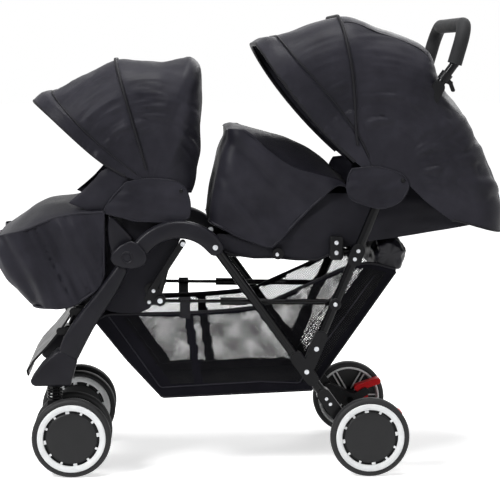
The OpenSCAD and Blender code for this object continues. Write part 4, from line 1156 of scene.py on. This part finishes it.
def basket_wall(side, sign):
    """Side wall with its net window and the webbing across it."""
    def place(u, v):
        x, y, z = wall_point(mix(BASKET_FRONT, BASKET_REAR, u), v)
        return x, sign * y, z
    wall = sheet(f"basket_side_{side}", 138, 44, place, (0.69, 0.28))
    crease(wall, lambda p: wrinkle(p.x * 0.018, p.z * 0.02, 17.0) * 1.5)
    for loop in wall.data.loops:
        spot = wall.data.vertices[loop.vertex_index].co
        wall.data.uv_layers.active.data[loop.index].uv = (spot.x, spot.z)
    face_side(wall, sign)
    wall.data.materials.clear()
    wall.data.materials.append(BASKET_CLOTH)
    wall.data.materials.append(NET_CLOTH)
    first, last = WEBBING[sign]
    for face in wall.data.polygons:
        x, z = face.center.x / MM, face.center.z / MM
        webbing = first < x + (z - WEBBING_LEVEL) * WEBBING_SLANT < last
        face.material_index = 1 if inside(x, z, WINDOW) and not webbing else 0
    smooth(wall, SOFT_ANGLE)
    hang_between(wall)


def basket_trims(side, sign):
    """Bound rim, lower edge and seam of a side wall."""
    y = sign * BASKET_HALF
    keel = [(x, z + 2) for x, z in BASKET_PATH]
    seam = []
    for x, _, z in straight_points(at_y(SEAM_LINE), 120):
        low, high = straight_z(BASKET_PATH, x), table_value(RIM_LINE, x)
        wall = wall_point(x, clamp((z - low) / (high - low)))
        seam.append((wall[0], sign * (wall[1] + 0.6), wall[2]))
    for name, line, radius, finish in (("rim", line_points(at_y(RIM_LINE, y), 60), 3.2, BINDING),
                                       ("keel", straight_points(at_y(keel, y), 80), 2.2, BINDING),
                                       ("seam", seam, 1.5, PIPING)):
        hang_between(fit(tube(f"basket_{name}_{side}", line, radius), None, finish, "cloth"))


def basket_straps(side, sign):
    """Straps that hang the basket from the side rails."""
    for number, (x0, x1, top, reach, body) in enumerate(STRAPS):
        low = table_value(RIM_LINE, x0) - STRAP_LAP

        def place(u, v):
            return mix(x0, x1, u), sign * mix(BASKET_HALF + 0.8, reach, ease(v)), mix(low, top, v)
        strap = sheet(f"basket_strap_{number}_{side}", 8, 16, place, (0.03, 0.05))
        face_side(strap, sign)
        thicken(strap, BASKET_WALL, 0)
        fit(strap, body, BINDING, "cloth")


def rear_pocket(around=60):
    """Crumpled storage pocket behind the basket."""
    loop = straight_points(at_y(POCKET + POCKET[:1]), around + 1)[:-1]
    for _ in range(2):
        loop = [tuple((Vector(loop[i - 1]) + 2 * Vector(p) + Vector(loop[(i + 1) % around])) / 4)
                for i, p in enumerate(loop)]
    middle = (sum(p[0] for p in loop) / around, sum(p[2] for p in loop) / around)

    def place(u, v):
        x, _, z = loop[round(v * around) % around]
        turn = (2 * u - 1) * math.pi / 2
        end = max(math.cos(turn), 0) ** 0.22
        return mix(middle[0], x, end), POCKET_HALF * math.sin(turn), mix(middle[1], z, end)
    piece = sheet("rear_pocket", 90, around, place, (0.33, 0.3))
    edit(piece, bpy.ops.mesh.remove_doubles, threshold=0.0002)
    outward(piece)
    crease(piece, lambda p: -abs(wrinkle(p.x * 0.035, p.y * 0.03, p.z * 0.04)) * 8
           + wrinkle(p.x * 0.09, p.y * 0.06, p.z * 0.09) * 3)
    smooth(piece, SOFT_ANGLE)
    fit(piece, "rear_frame", NYLON, "cloth")


basket_tray()
for side, sign in SIDES.items():
    basket_wall(side, sign)
    basket_trims(side, sign)
    basket_straps(side, sign)
rear_pocket()


# Wheels, as (radius, y) profiles of a wheel that faces +Y

TYRE_PROFILE = [(77.0, -13.5), (80, -15), (84, -14.6), (87.4, -12.6), (89.3, -9.6), (90, -6.8), (88.8, -6.2),
                (88.8, -5.0), (90, -4.4), (90, 4.4), (88.8, 5.0), (88.8, 6.2), (90, 6.8), (89.3, 9.6),
                (87.4, 12.6), (84, 14.6), (80, 15), (77.0, 13.5)]
RIM_PROFILE = [(77, -13.5), (77, 13.5), (77.6, 14.6), (76.6, 16.2), (74.6, 16.8), (67, 16.0), (64.6, 14.8),
               (63.6, 12.5), (63.6, 9), (69, 7), (71.5, 2), (71.5, -12.5), (73.5, -16.5), (76.2, -16.5),
               (77.4, -15)]
CAP_PROFILE = [(0.01, 14.4), (40, 14.0), (53, 13.2), (57.0, 12.2), (58.4, 10.6), (58.4, 8), (56, 6.4),
               (0.01, 6.4)]
BACK_PROFILE = [(0.01, 5.6), (66, 5.6), (69, 4.2), (69, 2.6), (0.01, 2.6)]
FRONT_AXLE_X, REAR_AXLE_X, AXLE_Z = -417, 260, 90
CASTER_HALF, TWIN_HALF, REAR_TRACK_HALF = 185, 45, 248
CLIPS, CLIP_TURN, CLIP_PLACE = 12, 8, (61.2, 10.6, 0)
CLIP_REACH, CLIP_NARROW, CLIP_WIDE, CLIP_THICK = 7.5, 5.5, 9.0, 2.4
SPOKE_PAIRS, SPOKE_SHIFT, SPOKE_RADIUS = 6, 5, 1.9
SPOKE_START, SPOKE_STOP = (18, -5), (71.8, -7)


def wheel_parts():
    """Tyre, rim with its clips and spokes, and cap."""
    tyre = turned("tyre", TYRE_PROFILE)
    ring = [turned("ring", RIM_PROFILE)]
    for i in range(CLIPS):
        size = (CLIP_REACH, CLIP_NARROW if i % 3 else CLIP_WIDE, CLIP_THICK)
        clip = block("clip", size, (0, 0, 0), 0.6)
        clip.data.transform(Matrix.Rotation(math.pi / 2, 4, "X"))
        ring.append(moved(moved(clip, CLIP_PLACE), (0, 0, 0), -(360 / CLIPS * i + CLIP_TURN)))
    for i in range(SPOKE_PAIRS):
        for shift in (-SPOKE_SHIFT, SPOKE_SHIFT):
            start, stop = Vector((*SPOKE_START, shift)), Vector((*SPOKE_STOP, shift))
            spoke = tube("spoke", [start, (start + stop) / 2, stop], SPOKE_RADIUS)
            ring.append(moved(spoke, (0, 0, 0), -360 / SPOKE_PAIRS * i))
    rim = join("rim", ring)
    cap = join("cap", [turned("cap", CAP_PROFILE), turned("back", BACK_PROFILE)])
    return tyre, rim, cap


def hub_part(reach_in):
    """Wheel's hub, longer on its inner side by reach_in."""
    return turned("hub", [(4.4, -17 - reach_in), (17, -17 - reach_in), (19, -15 - reach_in), (19.5, -8),
                          (24, -5), (25, -3), (25, 2), (22, 3.4), (4.4, 3.4)], 48)


def wheels():
    tyre, rim, cap = wheel_parts()
    front_hub, rear_hub = hub_part(7.5), hub_part(0)
    places = []
    for side, sign in SIDES.items():
        for part, out in (("outer", 1), ("inner", -1)):
            place = (FRONT_AXLE_X, sign * (CASTER_HALF + out * TWIN_HALF), AXLE_Z)
            places.append(("front", f"{side}_{part}", front_hub, place, sign * out))
        places.append(("rear", side, rear_hub, (REAR_AXLE_X, sign * REAR_TRACK_HALF, AXLE_Z), sign))
    for end, which, hub, place, facing in places:
        wheel = f"{end}_wheel_{which}"
        parts = [("tread", tyre, TYRE_RUBBER, "tyre", [f"{end}_tyre_{which}"]),
                 ("rim", rim, RIM_SILVER, "rim", [wheel]),
                 ("cap", cap, CAP_PLASTIC, "plastic", []),
                 ("hub", hub, DARK_PLASTIC, "plastic", [])]
        for part, model, finish, slot, stands_for in parts:
            twin = copy_of(model, f"{wheel}_{part}", place, facing)
            fit(twin, f"{wheel}_body", finish, slot, *stands_for)
    for spare in (tyre, rim, cap, front_hub, rear_hub):
        bpy.data.objects.remove(spare)


wheels()


# Casters, legs and arms

CASTER = (-456, 207)
ELBOW = (-286, 505)
BOOT = [(54, 60), (46, 30), (40, 12), (40, 0), (-46, 0), (-55, 11), (-44, 27), (-28, 49), (-8, 68), (9, 83),
        (28, 78)]
LEG = [(52, 56), (9, 76), (22, 110), (38, 137), (66, 174), (97, 212), (120, 243), (144, 275), (158, 288),
       (170, 262), (146, 216), (117, 171), (90, 130), (70, 92)]
ELBOW_COVER = [(-37, -8), (-33, 6), (-16, 22), (6, 31), (22, 24), (36, 8), (40, -8), (32, -20), (14, -27),
               (-10, -26), (-29, -19)]
ELBOW_BUTTON = [(0.01, 0), (14, 0), (14, 1.6), (12.6, 2.8), (10.6, 1.2), (8.6, 1.2), (7.4, 2.6), (0.01, 3.0)]
ARM_FOLD, ARM_MIDDLE = (-90, 522), (-172.5, 456.9)
ARM_RADIUS, ARM_HALF, ELBOW_RADIUS = 105.1, 20, 26
LEG_SPAN, BOOT_SPAN, ARM_SPAN, COVER_SPAN = (193, 225), (160, 226), (197, 229), (227, 236)
COVER_SCALE, BUTTON_PLACE = 1.09, (ELBOW[0] - 3, 235.6, ELBOW[1] - 4)
SPRING_TURNS, SPRING_WIRE, SPRING_RADIUS = 4.5, 2.25, 18
SPRING_LOW, SPRING_HIGH = 173.3, 204.2


def caster_springs():
    r = SPRING_RADIUS - SPRING_WIRE
    for side, sign in SIDES.items():
        line = []
        for q in even_steps(150):
            a = 2 * math.pi * SPRING_TURNS * q
            y = sign * (CASTER_HALF + r * math.sin(a))
            line.append((CASTER[0] + r * math.cos(a), y, mix(SPRING_LOW, SPRING_HIGH, q)))
        coil = tube(f"caster_coil_{side}", line, SPRING_WIRE, False, 3)
        fit(coil, f"caster_{side}", TUBE_PAINT, "tube", f"caster_spring_{side}")


def legs():
    """Front legs with the boots that hold the casters."""
    for side, sign in SIDES.items():
        leg = slab(f"front_leg_shell_{side}", shifted(LEG, CASTER), LEG_SPAN, sign, 10, 4)
        fit(leg, "front_frame", LEG_PLASTIC, "plastic", f"front_leg_{side}")
        boot = slab(f"front_boot_{side}", shifted(BOOT, CASTER), BOOT_SPAN, sign, 11, 4)
        fit(boot, "front_frame", LEG_PLASTIC, "plastic")


def arms():
    """Arched arms from the elbows to the fold joint, with their elbow covers and buttons."""
    slope = math.degrees(math.asin((ARM_FOLD[1] - ARM_MIDDLE[1]) / ARM_RADIUS))
    outer = arc(ARM_MIDDLE, ARM_RADIUS + ARM_HALF, slope, 180 - slope, 33)
    inner = arc(ARM_MIDDLE, ARM_RADIUS - ARM_HALF, slope, 180 - slope, 33)
    elbow = arc(ELBOW, ELBOW_RADIUS, 120, 330, 15)
    nose = arc(ARM_FOLD, ARM_HALF, -120, 20, 11)
    outline = outer[2:] + elbow + list(reversed(inner[3:])) + nose
    for side, sign in SIDES.items():
        arm = slab(f"arm_shell_{side}", outline, ARM_SPAN, sign, 9, 4)
        fit(arm, "front_frame", LEG_PLASTIC, "plastic", f"arm_{side}")
        cover = slab(f"elbow_shell_{side}", shifted(ELBOW_COVER, ELBOW, COVER_SCALE), COVER_SPAN, sign, 5)
        stands_for = ["elbow_covers"] if side == "left" else []
        fit(cover, "front_frame", LEG_PLASTIC, "plastic", *stands_for)
        x, y, z = BUTTON_PLACE
        button = turned_at((x, sign * y, z), f"elbow_button_{side}", ELBOW_BUTTON, 40)
        fit(button, "front_frame", LEG_PLASTIC, "plastic")


caster_springs()
legs()
arms()


# CAD pieces that stay: their finishes and softened edges, with each edge's width in millimetres

def soften_node(name, width):
    """Rounds a CAD node's sharp edges by modifiers that stay live."""
    node = nodes[name]
    weld = node.modifiers.new("weld", "WELD")
    weld.merge_threshold = 1e-5
    flat = node.modifiers.new("flat", "DECIMATE")
    flat.decimate_type = "DISSOLVE"
    flat.angle_limit = math.radians(1)
    bevel = node.modifiers.new("bevel", "BEVEL")
    bevel.width = width * MM
    bevel.segments = 2
    bevel.limit_method = "ANGLE"
    bevel.angle_limit = math.radians(45)


def paint(material, *names):
    for name in names:
        nodes[name].data.materials.clear()
        nodes[name].data.materials.append(material)


paint(DARK_PLASTIC, "step_plate", "seat_brackets", "caster_fork_left", "caster_fork_right", "y_brackets",
      "handle_clamps", "axle_housings", "fold_trigger_left", "fold_trigger_right")
paint(TUBE_PAINT, "front_seat_tubes", "front_hood_frame", "front_hood_mid_bow", "front_hood_front_bow",
      "rail_rods", "rail_sleeves", "rear_leg_left", "rear_leg_right", "handle_tube_left", "handle_tube_right",
      "handle_bar", "rear_axle", "rear_seat_frame", "rear_hood_frame", "rear_hood_mid_bow",
      "rear_hood_front_bow")
paint(FOAM, "bumper_bar", "handle_grip")
paint(ZINC, "front_screws", "rear_screws")
paint(BRAKE_RED, "brake_pedal_left", "brake_pedal_right")
EDGES = {0.6: ("front_screws", "rear_screws"), 1.2: ("step_plate", "seat_brackets"),
         1.8: ("brake_pedal_left", "brake_pedal_right"), 2.0: ("axle_housings",),
         2.5: ("y_brackets", "handle_clamps", "caster_fork_left", "caster_fork_right")}
for width, rounded in EDGES.items():
    for name in rounded:
        soften_node(name, width)


# Studio

LAMPS = [("key", (-2.8, -2.6, 3.2), (0, 0, 0.5), 1.2, 175), ("fill", (2.6, -3.6, 1.6), (0, 0, 0.5), 2.4, 30),
         ("top", (0.2, -0.3, 4.2), (0, 0, 0.4), 1.6, 160), ("back", (1.6, 3.6, 2.6), (0, 0, 0.6), 2.4, 60)]


def ray_mask(tree):
    """One for rays from the camera, a mirror or glass, and nought for the rest."""
    path = tree.nodes.new("ShaderNodeLightPath")
    seen = math_node(tree, "MAXIMUM", path.outputs["Is Camera Ray"], path.outputs["Is Transmission Ray"])
    return math_node(tree, "MAXIMUM", seen, path.outputs["Is Glossy Ray"])


def aimed(direction):
    """Turn of a lamp or camera that looks along a direction."""
    return Vector(direction).to_track_quat("-Z", "Y").to_euler()


def pale_floor():
    """Floor that keeps the object's shadow and fades to white around it."""
    deselect()
    bpy.ops.mesh.primitive_plane_add(size=60, location=(0, 0, -0.0005))
    floor = bpy.context.object
    floor.name = "pale_floor"
    material, tree, shader = new_material("pale floor")
    set_inputs(shader, {"Base Color": (0.85, 0.85, 0.85, 1), "Roughness": 1.0, "Specular IOR Level": 0.0,
                        "Emission Strength": 1.0})
    where = tree.nodes.new("ShaderNodeTexCoord")
    reach = tree.nodes.new("ShaderNodeVectorMath")
    reach.operation = "LENGTH"
    tree.links.new(where.outputs["Object"], reach.inputs[0])
    fade = tree.nodes.new("ShaderNodeMapRange")
    fade.interpolation_type = "SMOOTHSTEP"
    set_inputs(fade, {"From Min": 0.9, "From Max": 3.4, "To Min": 0.62, "To Max": 1.0})
    tree.links.new(reach.outputs["Value"], fade.inputs["Value"])
    glow = math_node(tree, "MULTIPLY", fade.outputs["Result"], ray_mask(tree))
    tree.links.new(glow, shader.inputs["Emission Color"])
    floor.data.materials.append(material)


def lights():
    """Four soft lamps, and a world that is white to the camera and dim to the object."""
    for name, place, aim, size, power in LAMPS:
        bpy.ops.object.light_add(type="AREA", location=place)
        lamp = bpy.context.object
        lamp.name = name
        lamp.data.size = size
        lamp.data.energy = power
        lamp.rotation_euler = aimed(Vector(aim) - Vector(place))
    world = bpy.context.scene.world or bpy.data.worlds.new("studio")
    bpy.context.scene.world = world
    world.use_nodes = True
    tree = world.node_tree
    back = tree.nodes["Background"]
    back.inputs["Color"].default_value = (1, 1, 1, 1)
    span = tree.nodes.new("ShaderNodeMapRange")
    set_inputs(span, {"To Min": 0.12, "To Max": 1.0})
    tree.links.new(ray_mask(tree), span.inputs["Value"])
    tree.links.new(span.outputs["Result"], back.inputs["Strength"])


def photo_camera():
    """Camera that sees the object as the photograph does."""
    bpy.ops.object.camera_add(location=EYE)
    camera = bpy.context.object
    camera.rotation_euler = aimed(AIM)
    camera.data.lens = LENS_MM
    camera.data.sensor_width = SENSOR_MM
    bpy.context.scene.camera = camera
    bpy.context.scene.view_settings.view_transform = "Standard"


pale_floor()
lights()
photo_camera()
